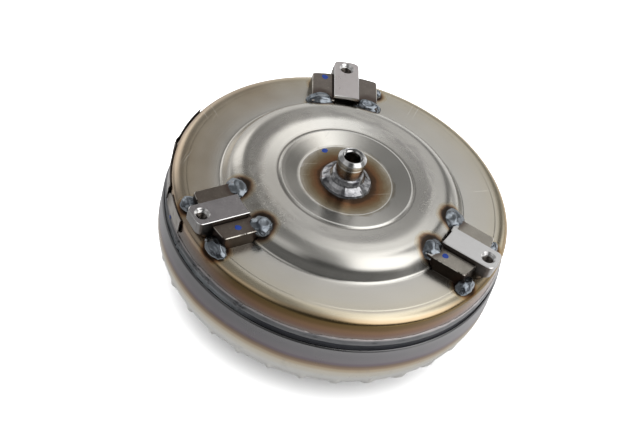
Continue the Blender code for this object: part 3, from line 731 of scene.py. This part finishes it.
DISH = (
    (0, 0), (36, 0, 0.9), (37.4, 0.15, 0.9), (48.6, 2.75, 2.5), (50.2, 3.15, 0.5),
    (51.2, 3.15, 0.5), (52.4, 2.1, 0.5), (53.3, 2.1, 0.4),
)
CROWN = (54.2, -1.35, 0.5), (66.5, -0.04, 36), (80.4, -1, 20), (88.2, -5.9, 14)
ANNULUS_PLATE = [(93.8, 0.06, 3.2), (CREASE_R - 0.5, 0, 0.3), (CREASE_R + 0.3, -0.12, 0.3)]
SKIRT = [(COVER_R, SKIRT_END + 1, 1), (COVER_R - 1, SKIRT_END)]
COVER_TOP_POINTS = beside(0, DISC_TOP, *DISH) + beside(0, COVER_TOP, *CROWN) + ANNULUS_PLATE
COVER_OUTER = rounded(COVER_TOP_POINTS + shoulder_points() + SKIRT, 1.5)
COVER_INNER = rounded(
    [
        (COVER_R - SHEET, SKIRT_END),
        (COVER_R - SHEET, -SHEET, 7),
        (94, -SHEET, 4),
        (82, COVER_TOP - 2.6 - SHEET, 4),
        (52, COVER_TOP - SHEET, 3),
        (36, DISC_TOP - SHEET, 3),
        (0, DISC_TOP - SHEET),
    ],
    6,
)


def path_length_to(radius):
    """Running length of the cover's outer skin where it first reaches a radius."""
    total = 0
    for a, b in zip(COVER_OUTER, COVER_OUTER[1:]):
        if b.x >= radius:
            break
        total += (b - a).length
    return total


SHOULDER_START = path_length_to(COVER_R - SHOULDER_WIDE)


def build_cover():
    def press_waves(radius, angle, height, index):
        """Slight waves of the outer skin, strongest over the annulus and the shoulder."""
        if index >= len(COVER_OUTER):
            return radius, height
        outside = 1 if radius > 96 else 0.3
        wave = wobble(angle, radius * 0.4, 2.2, 3) * 0.13 * outside
        wave += wobble(angle, radius * 0.9, 5, 9) * 0.03 * outside
        if radius > COVER_R - 1.5:
            return radius + min(0, wave * 0.6), height
        return radius, height + min(0, wave - 0.03)

    cover = turned("cover_pressing", COVER_OUTER + COVER_INNER, ROUND, press_waves, 50)
    dress(cover, cover_material(), "pressed_steel", "front_cover")


# -------- pilot


def build_pilot():
    chamfer = (0, -2.2, 0.3), (0.9, -1.35), (1, -1.2), (1.7, 0, 0.5), (2.3, 0, 0.4)
    bore = beside(PILOT_BORE_R, PILOT_TOP, *chamfer)
    collar = beside(PILOT_COLLAR_R, PILOT_TOP, (0, -2.4, 0.5), (0, -6.1, 0.2), (-0.55, -6.6, 0.2))
    tube = beside(PILOT_R, PILOT_TOP, (-0.1, -7.2, 0.3), (0, -7.8, 0.2))
    foot = beside(0, DISC_TOP, (PILOT_R, 0.05), (PILOT_BORE_R, 0.05))
    outline = rounded(bore[2:] + collar + tube + foot + bore[:2], 0.8)
    steel = turned_material("pilot_steel", (0.74, 0.735, 0.73), 0.11)
    dress(turned("pilot_tube", outline, 128), steel, "machined_steel", "pilot_hub")

    cone = rounded(
        [
            (PILOT_R + 0.02, WELD_CONE_TOP),
            (11.8, WELD_CONE_TOP - 0.7, 1),
            (13.6, DISC_TOP + 5.2, 3),
            (16.2, DISC_TOP + 3.1, 2),
            (18.9, DISC_TOP + 1.8, 1),
            (WELD_CONE_R, DISC_TOP + 0.02),
            (PILOT_R + 0.02, DISC_TOP + 0.02),
        ],
        0.4,
    )

    def lumpy(radius, angle, height, index):
        share = ramp_up(radius - PILOT_R, 9)
        lump = wobble(angle, height, 2.6, 1) * 0.6 + wobble(angle, height * 2, 4, 5) * 0.3
        ripple = sin(angle * 26 + wobble(angle, 0, 3, 2) * 5 + height) * 0.035
        out = radius + (lump + ripple) * share * 0.9
        up = height + (lump * 0.8 + ripple) * min(1, 4 * share * (1 - share))
        return min(out, WELD_CONE_R + 0.2), max(DISC_TOP + 0.02, up)

    bead = turned("pilot_weld_bead", cone, 260, lumpy, 70)
    metal = bead_material("pilot_bead", (0.1, 0.1, 0.11), (0.6, 0.6, 0.61), 0.1, 150, 0.0002)
    dress(bead, metal, "weld_metal", "pilot_weld")


# -------- drive lugs

BAR_HALF = 10
BAR_END = 131.5
WING_HALVES = ((25, 25), (27, 25.4), (25, 25))  # of each lug, left and right
WING_TOP = 11
WING_END_R = 120
HOLE_AT = 123.5
THREAD_PITCH = 1.5


def inner_arc(radius, y_first, y_last, steps):
    """Points of an arc about the shaft, from one y to another."""
    ys = [y_first + (y_last - y_first) * i / steps for i in range(steps + 1)]
    return [(sqrt(radius**2 - y * y), y) for y in ys]


def corner_arc(x, y, radius, first, last, steps):
    """Points of a corner's rounding about (x, y)."""
    turns = [first + (last - first) * k / steps for k in range(steps + 1)]
    return [(x + radius * cos(turn), y + radius * sin(turn)) for turn in turns]


def bar_plan(inner_r, flare=0, inset=0, cut=0):
    """The bar seen from above: a concentric inner arc and two rounded outer corners."""
    half, corner = BAR_HALF + flare - inset, 4.6
    x, y = BAR_END - cut - inset - corner, half - corner
    points = inner_arc(inner_r + inset, half, -half, 12)
    points += corner_arc(x, -y, corner, -pi / 2, 0, 9)
    return points + corner_arc(x, y, corner, 0, pi / 2, 9)


def wing_plan(side, half, inner_r, flare=0, inset=0):
    """One wing seen from above: concentric inner and outer arcs, small outer corners."""
    inside, corner = BAR_HALF - 0.8, 2.2
    outer_r = WING_END_R + flare - inset
    near, far = sorted((side * inside, side * (half + flare - inset)))
    low, high, reach = near + corner, far - corner, outer_r - corner
    first, last = asin(low / reach), asin(high / reach)
    points = inner_arc(inner_r + inset, far, near, 10)
    points += corner_arc(sqrt(reach**2 - low**2), low, corner, -pi / 2, first, 6)
    points += corner_arc(0, 0, outer_r, first, last, 8)[1:-1]
    return points + corner_arc(sqrt(reach**2 - high**2), high, corner, last, pi / 2, 6)


def loft(name, levels):
    """A closed solid through outlines of equal point count, each given as (height, outline)."""
    vertices = [(x * MM, y * MM, height * MM) for height, outline in levels for x, y in outline]
    return capped_tube(name, len(levels), len(levels[0][1]), vertices, 30)


def thread_cutter():
    """A tapped M10 hole with its countersink, as one closed turned-and-twisted tool."""
    height = BAR_TOP + 0.6
    sides, rows = 36, int(height / THREAD_PITCH * 8)
    vertices = []
    for row in range(rows + 1):
        z = -0.5 + (height + 1.2) * row / rows
        for k in range(sides):
            angle = tau * k / sides
            phase = (z / THREAD_PITCH - k / sides) % 1
            thread = 4.25 + 0.75 * (1 - abs(2 * phase - 1))
            radius = max(thread, 5.9 - (BAR_TOP - z) * 0.95)
            x, y = HOLE_AT + radius * cos(angle), radius * sin(angle)
            vertices.append((x * MM, y * MM, z * MM))
    return capped_tube("tap", rows + 1, sides, vertices)


def subtract(obj, cutter):
    """Cuts one object out of another for good, and removes the cutter."""
    modifier = obj.modifiers.new("cut", "BOOLEAN")
    modifier.operation = "DIFFERENCE"
    modifier.object = cutter
    modifier.solver = "EXACT"
    graph = bpy.context.evaluated_depsgraph_get()
    mesh = bpy.data.meshes.new_from_object(obj.evaluated_get(graph))
    obj.modifiers.clear()
    old, obj.data = obj.data, mesh
    bpy.data.meshes.remove(old)
    bpy.data.objects.remove(cutter)
    tidy(obj, 30)


def lug_bar(name):
    """Bar from its foot to its milled top; both ends overhang a cut-back foot."""
    edge = 0.38
    levels = (
        (0.1, 97.8, 1, 0, 6), (3.4, 95.6, 0.85, 0, 5), (4.2, 95.2, 0.8, 0, 1.4),
        (5.2, 94.8, 0.75, 0, 0.2), (8, 93.6, 0.5), (11.6, 92.5, 0.25), (12.1, 89.8, 0.2),
        (BAR_TOP - edge, 89.6),
        (BAR_TOP, 89.6, 0, edge),
    )
    bar = loft(name, [(height, bar_plan(*plan)) for height, *plan in levels])
    subtract(bar, thread_cutter())
    return bar


def lug_wing(name, side, half):
    """One wing, the lower block beside the bar. side is +1 or -1."""
    edge = 0.5
    levels = (
        (0.02, 96.8, 0.7), (1.2, 95.6, 0.3), (5, 92.4, 0.15), (8, 88.3, 0.05),
        (WING_TOP - edge, 88),
        (WING_TOP, 88, 0, edge),
    )
    return loft(name, [(height, wing_plan(side, half, *plan)) for height, *plan in levels])


def weld_puddle(name, centre, size, seed):
    """A frozen weld pool: a smooth flattened drop with a shallow crater and a thin toe."""
    bm = bmesh.new()
    bmesh.ops.create_icosphere(bm, subdivisions=5, radius=1)
    crater = Vector((noise.noise(Vector((seed, 1, 2))), noise.noise(Vector((3, seed, 4))), 0)) * 0.7
    for vertex in bm.verts:
        n = vertex.co.normalized()
        lump = noise.noise(n * 1.2 + Vector((seed, 0, 0))) * 0.13
        lump += noise.noise(n * 2.6 + Vector((0, seed, 0))) * 0.07
        away = (Vector((n.x, n.y, 0)) - crater).length
        ripple = sin(away * 15 + seed) * 0.01 * exp(-away * 0.8)
        pool = -0.11 * exp(-((away / 0.36) ** 2)) + 0.05 * exp(-(((away - 0.55) / 0.22) ** 2))
        toe = 1 + 0.1 * (1 - abs(n.z)) ** 2
        radius = (1 + lump) * toe
        rise = copysign(abs(n.z) ** 0.9, n.z) * (1 + lump * 0.6)
        if n.z > 0:
            rise += (pool + ripple) * n.z
        spot = Vector((n.x * size[0] * radius, n.y * size[1] * radius, rise * size[2]))
        vertex.co = (Vector(centre) + spot) * MM
    return tidy(bmesh_object(name, bm), 80)


def build_lugs():
    milled = (
        ((0.74, 0.735, 0.73), (0.6, 0.59, 0.58), 0.26),
        ((0.72, 0.685, 0.675), (0.55, 0.5, 0.49), 0.24),
        ((0.42, 0.395, 0.395), (0.24, 0.225, 0.23), 0.2),
    )
    scaly = (
        ((0.27, 0.25, 0.22), (0.44, 0.41, 0.36), 92.3),
        ((0.15, 0.13, 0.115), (0.28, 0.245, 0.215)), ((0.085, 0.07, 0.058), (0.2, 0.17, 0.145)),
    )
    bars = [bar_material(f"lug_milled_{i}", *look) for i, look in enumerate(milled, 1)]
    scales = [wing_material(f"lug_scale_{i}", *look) for i, look in enumerate(scaly, 1)]
    metal = bead_material("lug_bead", (0.11, 0.125, 0.145), (0.36, 0.39, 0.42), 0.16, 110, 0.00007)
    for lug, (angle, beads) in enumerate(zip(LUG_ANGLES, LUG_BEADS), 1):
        node, (left, right) = f"drive_lug_{lug}", WING_HALVES[lug - 1]
        turn = Matrix.Rotation(radians(angle), 4, "Z")
        matrix = Matrix.Translation((0, 0, ANNULUS * MM)) @ turn
        pieces = [(lug_bar(f"lug_bar_{lug}"), bars[lug - 1], "machined_steel", node)]
        for side, label, half in (1, "left", left), (-1, "right", right):
            wing = lug_wing(f"lug_wing_{lug}_{label}", side, half)
            pieces.append((wing, scales[lug - 1], "dark_steel", node))
        for spot, bead in enumerate(beads, 1):
            seed = lug * 7.3 + spot * 2.1
            puddle = weld_puddle(f"lug_bead_{lug}_{spot}", bead[:3], bead[3:], seed)
            pieces.append((puddle, metal, "weld_metal"))
        for piece, *look in pieces:
            piece.data.transform(matrix)
            dress(piece, *look)


# -------- balance weights


def build_weights():
    steel = weight_material()
    for index in (1, 2, 3):
        name = f"balance_weight_{index}"
        _, bottom, top = cad(name)
        angles = [atan2(v.co.y, v.co.x) % tau for v in frame["nodes"][name].data.vertices]
        first, last = min(angles), max(angles)
        plate = weight_plate(f"weight_plate_{index}", first, last, bottom, top, index)
        dress(plate, steel, "pressed_steel", name)


def weight_plate(name, first, last, bottom, top, index):
    """A curved strip with rounded corners, spot-weld dimples and ends that spring off the wall."""
    sheet, corner = 0.8, 1.6
    wide, tall = 72, 16
    length, height = (last - first) * COVER_R, top - bottom
    spots = [length * s for s in (0.2, 0.5, 0.8)]
    front, back = [], []
    for i in range(wide + 1):
        share = i / wide
        u = share * length
        near_end = min(u, length - u, corner)
        squeeze = corner - sqrt(corner**2 - (corner - near_end) ** 2)
        r_in = COVER_R + (0.1 + 1.35 * abs(2 * share - 1) ** 12)
        angle = first + (last - first) * share
        for k in range(tall + 1):
            v = k / tall * (height - 2 * squeeze) + squeeze
            away = [hypot(u - spot, v - height * 0.5) for spot in spots]
            dimple = sum(0.4 * exp(-((a / 1.7) ** 2)) for a in away)
            z = bottom + v + 0.3 * sin(index + share * 3)
            front.append(on_ring(min(r_in + sheet - dimple, LIP_R), angle, z))
            back.append(on_ring(r_in, angle, z))
    faces = []
    offset, row = len(front), tall + 1
    for i in range(wide):
        for a in range(i * row, i * row + tall):
            faces.append((a, a + 1, a + row + 1, a + row))
            faces.append((offset + a, offset + a + row, offset + a + row + 1, offset + a + 1))
    rim = [*range(row), *(i * row + tall for i in range(1, wide + 1))]
    rim += [*range(wide * row + tall - 1, wide * row - 1, -1), *range((wide - 1) * row, 0, -row)]
    faces += [(a, b, offset + b, offset + a) for a, b in zip(rim, rim[1:] + rim[:1])]
    return mesh_object(name, front + back, faces, 40)


# -------- closure weld, shell and hub

WELD_CRUSTS = (-131, -125, -112, -143)  # degrees round the object
SECTION_END = -140  # degrees round the shell's section, from level to where the flat web starts
TAB_ROWS = ((-36, 8, 1.7), (-78, 6, 0.9), (-122, 4.5, 0.6))  # blade tabs: place, length, height


def build_closure_weld():
    crown = beside(
        COVER_R,
        WELD_TOP,
        (-0.1, 1.5), (0.35, 1.3, 0.3), (0.9, -0.3, 0.8), (1.5, -2.2, 2), (1.35, -3.6, 0.8),
        (0.5, -4.6, 0.8),
    )
    foot = beside(COVER_R, LIP_TOP, (0.45, 1, 0.8), (0.8, 0.05), (-0.1, 0.05))

    def ripples(radius, angle, height, index):
        turns = [(degrees(angle) - crust + 180) % 360 - 180 for crust in WELD_CRUSTS]
        rough = sum(exp(-((away / 2.2) ** 2)) for away in turns)
        wave = wobble(angle, 0, 6, 2) * 0.18 + wobble(angle, height * 5, 26, 6) * 0.16
        wave += wobble(angle, height * 14, 90, 8) * 1.3 * rough + 0.25 * rough
        wave += 0.04 * sin(angle * 420 + height * 1.2)
        edge = 1 if height > WELD_TOP - 0.8 else 0.25
        drop = (wobble(angle, 0, 9, 11) * 0.9 + wobble(angle, 0, 30, 4) * 0.35) * edge
        out = radius + wave * ramp_up(radius - COVER_R, 1.2)
        return min(LIP_R - 0.1, out), min(height + drop, WELD_TOP + 2.2)

    weld = turned("closure_bead", rounded(crown + foot, 0.4), 1200, ripples, 60)
    dress(weld, closure_material(), "weld_metal", "closure_weld")


def section_points(radius, steps):
    """The shell's round section, from level with its middle to SECTION_END."""
    turns = [radians(SECTION_END * i / steps) for i in range(steps + 1)]
    return [Vector((TORUS_R + radius * cos(t), TORUS_Z + radius * sin(t))) for t in turns]


def build_shell():
    inside_r = SECTION_R - SHELL_SHEET
    rabbet = LIP_TOP - 6.4
    lip = rounded(
        [
            (LIP_R - SHELL_SHEET, rabbet),
            (COVER_R + 0.3, rabbet),
            (COVER_R + 0.9, LIP_TOP - 0.1, 0.4),
            (LIP_R - 0.9, LIP_TOP, 0.6),
            (LIP_R, LIP_TOP - 1.1, 0.6),
            (LIP_R, TORUS_Z),
        ],
        1.2,
    )
    turn = section_points(SECTION_R, 40)[-1]
    web = rounded([turn, (53.5, WEB_UNDER, 9), (HUB_R + 0.1, WEB_UNDER)], 1.5)
    turn = section_points(inside_r, 40)[-1]
    over = WEB_UNDER + SHELL_SHEET
    under = rounded([(HUB_R + 0.1, over), (52.5, over, 9), turn], 3)
    outline = lip + section_points(SECTION_R, 96)[1:] + web[1:]
    outline += under + section_points(inside_r, 36)[-2::-1]

    def dimples(radius, angle, height, index):
        width, tall = radius - TORUS_R, height - TORUS_Z
        reach = hypot(width, tall)
        if reach < SECTION_R - 0.5 or height > TORUS_Z - 1:
            wave = wobble(angle, height, 2, 4) * 0.1 if height > TORUS_Z else 0
            return min(LIP_R, radius + min(0, wave)), height
        section = degrees(atan2(tall, width))
        push = wobble(angle, height, 2.4, 7) * 0.12 - 0.06
        for row, span, lift in TAB_ROWS:
            tab = (angle / tau * BLADE_TABS + row * 0.01 - section * 0.006) % 1
            across = (tab - 0.5) * tau * radius / BLADE_TABS
            along = (section - row) * radians(1) * SECTION_R
            push += lift * exp(-((across / 2) ** 4) - (along / span) ** 4)
        return radius + push * width / reach, height + push * tall / reach

    shell = turned("impeller_pressing", outline, 620, dimples, 40)
    dress(shell, shell_material(), "pressed_steel", "impeller_shell")


def build_hub():
    under_flange = WEB_UNDER + SHELL_SHEET + 0.05
    outline = rounded(
        [
            (HUB_BORE_R + 0.02, HUB_TOP - 0.02),
            (HUB_FLANGE_R, HUB_TOP - 0.02, 0.8),
            (HUB_FLANGE_R, under_flange, 0.4),
            (HUB_R, under_flange),
            (HUB_R, HUB_END + 2, 0.8),
            (HUB_R - 1.6, HUB_END, 0.4),
            (HUB_BORE_R + 0.9, HUB_END, 0.3),
            (HUB_BORE_R, HUB_END + 0.9, 0.3),
        ],
        1.2,
    )
    hub = turned("hub_tube", outline, 160)
    bm = bmesh.new()
    bmesh.ops.create_cube(bm, size=1)
    slot = Matrix.Translation((0, 0, 3 * MM)) @ Matrix.Diagonal((60 * MM, 12 * MM, 16 * MM, 1))
    bmesh.ops.transform(bm, matrix=slot, verts=bm.verts)
    edges = [e for e in bm.edges if abs(e.verts[0].co.x - e.verts[1].co.x) > 0.01]
    bmesh.ops.bevel(bm, geom=edges, offset=1.5 * MM, segments=4, affect="EDGES", profile=0.5)
    subtract(hub, bmesh_object("slot", bm))
    steel = turned_material("hub_steel", (0.5, 0.495, 0.49), 0.2)
    dress(hub, steel, "machined_steel", "impeller_hub")

    fillet = (-0.05, 0.05), (4.6, 0.05), (3.9, -1.9, 1.5), (1.4, -3.8, 1.5), (-0.05, -4.4)
    bead = beside(HUB_R, WEB_UNDER, *fillet)

    def ripples(radius, angle, height, index):
        share = ramp_up(WEB_UNDER - height, 2) * ramp_up(radius - HUB_R, 1.5)
        wave = 0.12 * sin(angle * 96) + wobble(angle, height, 4, 3) * 0.35
        return radius + wave * share, height - wave * 0.5 * share

    weld = turned("hub_bead", rounded(bead, 0.4), 480, ripples, 60)
    metal = bead_material("hub_bead_metal", (0.16, 0.17, 0.19), (0.45, 0.46, 0.48), 0.2)
    dress(weld, metal, "weld_metal", "hub_weld")


# -------- paint marks


def around(angle, radius=1, height=0):
    """The point at an angle in degrees round the axis."""
    return Vector((radius * cos(radians(angle)), radius * sin(radians(angle)), height))


def build_paint():
    """Inspection dabs: one on a wing of each lug, one on the central disc, one on a weight."""
    up = Vector((0, 0, 1))
    dabs = []
    for angle, x, y in zip(LUG_ANGLES, (96.6, 114, 102.2), (-17.3, 17, 17.5)):
        spot = Matrix.Rotation(radians(angle), 4, "Z") @ Vector((x, y, WING_TOP))
        dabs.append((spot, up, 2.5))
    dabs.append((around(131, 33, DISC_TOP), up, 2.3))
    out = around(207.2)
    dabs.append((out * (COVER_R + 0.95) + Vector((0, 0, -20)), out, 1.5))
    paint = paint_material()
    for index, (spot, normal, size) in enumerate(dabs, 1):
        dab = paint_dab(f"paint_dab_{index}", spot, normal, size, index * 3.1)
        dress(dab, paint, "pressed_steel")


def paint_dab(name, spot, normal, size, seed):
    """A thin domed blot with an uneven edge, lying on a surface with the given normal."""
    rings, sides = 6, 40
    across = normal.orthogonal().normalized()
    along = normal.cross(across)
    vertices = []
    for ring in range(1, rings + 1):
        share = ring / rings
        for k in range(sides):
            turn = tau * k / sides
            wave = noise.noise(Vector((cos(turn), sin(turn), seed)))
            reach = size * share * (1 + 0.22 * wave)
            lift = 0.12 * sqrt(max(0, 1 - share**2)) + 0.02
            place = spot + across * reach * cos(turn) + along * reach * sin(turn)
            place += normal * lift + Vector((0, 0, ANNULUS))
            vertices.append(place * MM)
    return capped_tube(name, rings, sides, vertices, 60)


# -------- pieces inside the housing

SPRING_COUNT = 6
SPRING_TURNS = 11
SPRING_SPAN = 55  # degrees between a spring's ends
SPRING_WIRE = 1.3
SPRING_ROOM = 0.5  # the coils stay this far inside their CAD solids


def dress_inside():
    """Procedural finishes for the CAD pieces that stay as they are."""
    steels = (
        ("machined_steel", "inner_machined", (0.7, 0.69, 0.68), 0.16, 1800),
        ("blade_steel", "inner_blades", (0.58, 0.55, 0.47), 0.3, 500, (0.5, 0.44, 0.33)),
        ("dark_steel", "inner_dark", (0.2, 0.195, 0.19), 0.42, 900),
        ("roller_steel", "inner_rollers", (0.78, 0.78, 0.79), 0.08, 1200),
        ("spring_steel", "inner_springs", (0.26, 0.27, 0.31), 0.28, 700),
        ("cast_aluminium", "inner_cast", (0.72, 0.72, 0.715), 0.44, 300),
        ("bronze", "inner_bronze", (0.6, 0.43, 0.22), 0.3, 900),
        ("pressed_steel", "inner_pressed", (0.55, 0.54, 0.51), 0.3, 600),
    )
    looks = {slot: machined_material(*steel) for slot, *steel in steels}
    looks["weld_metal"] = bead_material("inner_bead", (0.15, 0.16, 0.18), (0.4, 0.41, 0.43))
    for name, colour in ("friction_paper", (0.2, 0.13, 0.075)), ("black_ptfe", (0.02, 0.02, 0.02)):
        g = Graph(name)
        fibre = g.noise(1100, 4, 0.75)
        shade = g.mix(fibre, shaded(colour, 0.6), shaded(colour, 1.4))
        looks[name] = g.finish(shade, 0.85, (fibre, 0.5, 0.0002), 0)
    for row in frame["record"]["subparts"]:
        materials = frame["nodes"][row["node"]].data.materials
        materials.clear()
        materials.append(looks[row["material_slot"]])


def half_coil(name, middle, side, pitch_r, coil_r, level):
    """Round wire wound along the pitch circle, from the spring's middle to one of its ends."""
    steps, sides = 140, 8
    vertices = []
    for i in range(steps + 1):
        share = side * i / steps / 2
        wound = tau * SPRING_TURNS * (share + 0.5)
        out = around(middle + share * SPRING_SPAN)
        forward = Vector((-out.y, out.x, 0))
        radial = out * cos(wound) + Vector((0, 0, 1)) * sin(wound)
        centre = out * pitch_r + Vector((0, 0, level)) + radial * (coil_r - SPRING_WIRE)
        for k in range(sides):
            turn = side * tau * k / sides
            offset = radial * cos(turn) + forward * sin(turn)
            vertices.append((centre + offset * SPRING_WIRE) * MM)
    return capped_tube(name, steps + 1, sides, vertices, 60)


def build_springs():
    """Damper springs as two half coils each."""
    low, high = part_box("damper_spring_2")  # the one that lies across +Y
    coil_r = (high.z - low.z) / 2 / MM
    pitch_r = high.y / MM - coil_r
    level = (low.z + high.z) / 2 / MM
    wire = machined_material("spring_wire", (0.3, 0.31, 0.35), 0.22, 900)
    for index in range(SPRING_COUNT):
        middle = 360 * (index + 0.5) / SPRING_COUNT
        node = f"damper_spring_{index + 1}"
        for side, label in (1, "leading"), (-1, "trailing"):
            name = f"damper_coil_{index + 1}_{label}"
            coil = half_coil(name, middle, side, pitch_r, coil_r - SPRING_ROOM, level)
            dress(coil, wire, "spring_steel", node, body="lockup_clutch")
            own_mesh(coil)


# -------- stage, light and camera

CAMERA_ELEVATION = 44.46
CAMERA_ROLL = 16.8
CAMERA_PLACE = (-0.0114, -0.9912, 0.942)  # from the middle of the cover's annulus plane
CAMERA_LENS = 101.25

# How bright the room is round the circle from below the far horizon, over the top, to behind
# the camera: (degrees, brightness)
ROOM_LIGHT = (
    *((-88, 0.7), (-5, 0.84), (13, 0.8), (20, 0.68), (28, 0.34), (40, 0.23), (60, 0.22)),
    *((100, 0.3), (114, 0.26), (128, 0.07), (148, 0.06), (166, 0.18), (180, 0.4)),
    *((205, 0.62), (268, 0.7)),
)


def build_stage():
    """A paper floor, with a wide soft lamp for it alone, so that the shadow stays close."""
    bpy.ops.mesh.primitive_plane_add(size=6, location=(0, 0, 0))
    floor = bpy.context.object
    floor.name = "floor"
    g = Graph("floor_paper")
    seen = g.seen()
    paper = g.mix(g.noise(4, 2), (0.296, 0.296, 0.297), (0.304, 0.304, 0.304))

    # In reflections the paper falls off towards the unlit left-hand side of the room.
    x, y, _ = g.split(g.place)
    turn = g.math("COSINE", g.math("ARCTAN2", y, x) - radians(20))
    side = turn * g.smooth(g.length(x, y), 0.14, 0.23) * 0.38 + 0.76
    side = g.mix(seen, g.join(side, side, side), WHITE)
    dimmed = g.mix(seen, (0.34, 0.34, 0.34), WHITE)
    colour = g.tinted(g.tinted(paper, side), dimmed)
    glow = {"Emission Color": side, "Emission Strength": seen * -0.2 + 0.4}
    paper = g.finish(colour, 0.9, metallic=0, **glow, **{"Specular IOR Level": 0})
    floor.data.materials.append(paper)

    data = bpy.data.lights.new("floor_lamp", "AREA")
    data.shape = "RECTANGLE"
    data.size = data.size_y = 3.5
    data.energy = 660
    lamp = link("floor_lamp", data)
    lamp.location = (0, -0.35, 2.2)
    lamp.rotation_euler = (-lamp.location).to_track_quat("-Z", "Y").to_euler()
    only = bpy.data.collections.new("floor_only")
    only.objects.link(floor)
    lamp.light_linking.receiver_collection = only


def build_world():
    """White studio for the camera; for reflections a big soft box overhead to the right, a pale
    wall beyond the object and a dark room behind the camera.

    pitch is the direction's angle over the top: 0 at the far horizon, 90 overhead, 180 behind the
    camera. yaw is its angle to the right.
    """
    world = bpy.data.worlds.new("studio")
    bpy.context.scene.world = world
    world.use_nodes = True
    g = Graph("studio", world.node_tree)
    x, y, z = g.split(g.node("TexCoord", output="Generated"))
    yaw = g.math("ARCSINE", x) * (180 / pi)
    pitch = g.math("ARCTAN2", z, y) * (180 / pi)
    pitch = g.math("MODULO", pitch + 450, 360) - 90

    def panel(across, over, wide=yaw, high=pitch):
        """A soft-edged light between two yaws and two pitches."""
        return g.band(wide, *across) * g.band(high, *over)

    light = [((at + 90) / 360, (level,) * 3) for at, level in ROOM_LIGHT]
    room = g.ramp((pitch + 90) * (1 / 360), light)
    slanted = yaw + (pitch - 50) * -0.26
    lower_edge = pitch + g.smooth(yaw, 12, 22, 0, -26)
    box = panel((-6.5, 5.5, 46, 56), (39, 52.5, 94, 124), slanted, lower_edge)
    fill = panel((-54, -42, -20, -7), (98, 110, 136, 152))
    beyond = panel((-10, 1, 11, 16), (21, 28, 37, 45))
    sides = g.most(g.band(yaw, -54, -44, -29, -21) * 1.5, g.band(yaw, 27, 32, 48, 56))
    sides = sides * g.band(pitch, 14, 24, 42, 52)
    total = box * g.smooth(pitch, 49, 60, 1.36, 1.78) + (fill * 0.45 + beyond * 0.45)
    total = total + sides * 0.75
    shade = panel((-4, 8, 40, 60), (6, 12, 22, 28))
    gap = panel((15, 19, 23, 28), (26, 32, 48, 58))
    room = g.mix(shade * 0.7, room, BLACK)
    total = g.mix(1, room, g.join(total, total, total), "ADD")
    total = g.mix(gap * 0.7, total, BLACK)
    g.plug(g.tree.nodes["Background"], [("Color", g.mix(g.seen(), total, WHITE))])


def build_camera():
    """The camera of a three-quarter view from above, rolled clockwise."""
    data = bpy.data.cameras.new("camera")
    data.sensor_width = 36
    data.lens = CAMERA_LENS
    data.clip_start, data.clip_end = 0.05, 20
    camera = link("camera", data)
    tilt = Matrix.Rotation(radians(90 - CAMERA_ELEVATION), 4, "X")
    roll = Matrix.Rotation(radians(CAMERA_ROLL), 4, "Z")
    shift = Matrix.Translation(Vector(CAMERA_PLACE) + Vector((0, 0, ANNULUS * MM)))
    camera.matrix_world = shift @ tilt @ roll
    bpy.context.scene.camera = camera


dress_inside()
build_springs()
build_cover()
build_pilot()
build_lugs()
build_weights()
build_closure_weld()
build_shell()
build_hub()
build_paint()
build_stage()
build_world()
build_camera()
bpy.context.scene.view_settings.view_transform = "Standard"
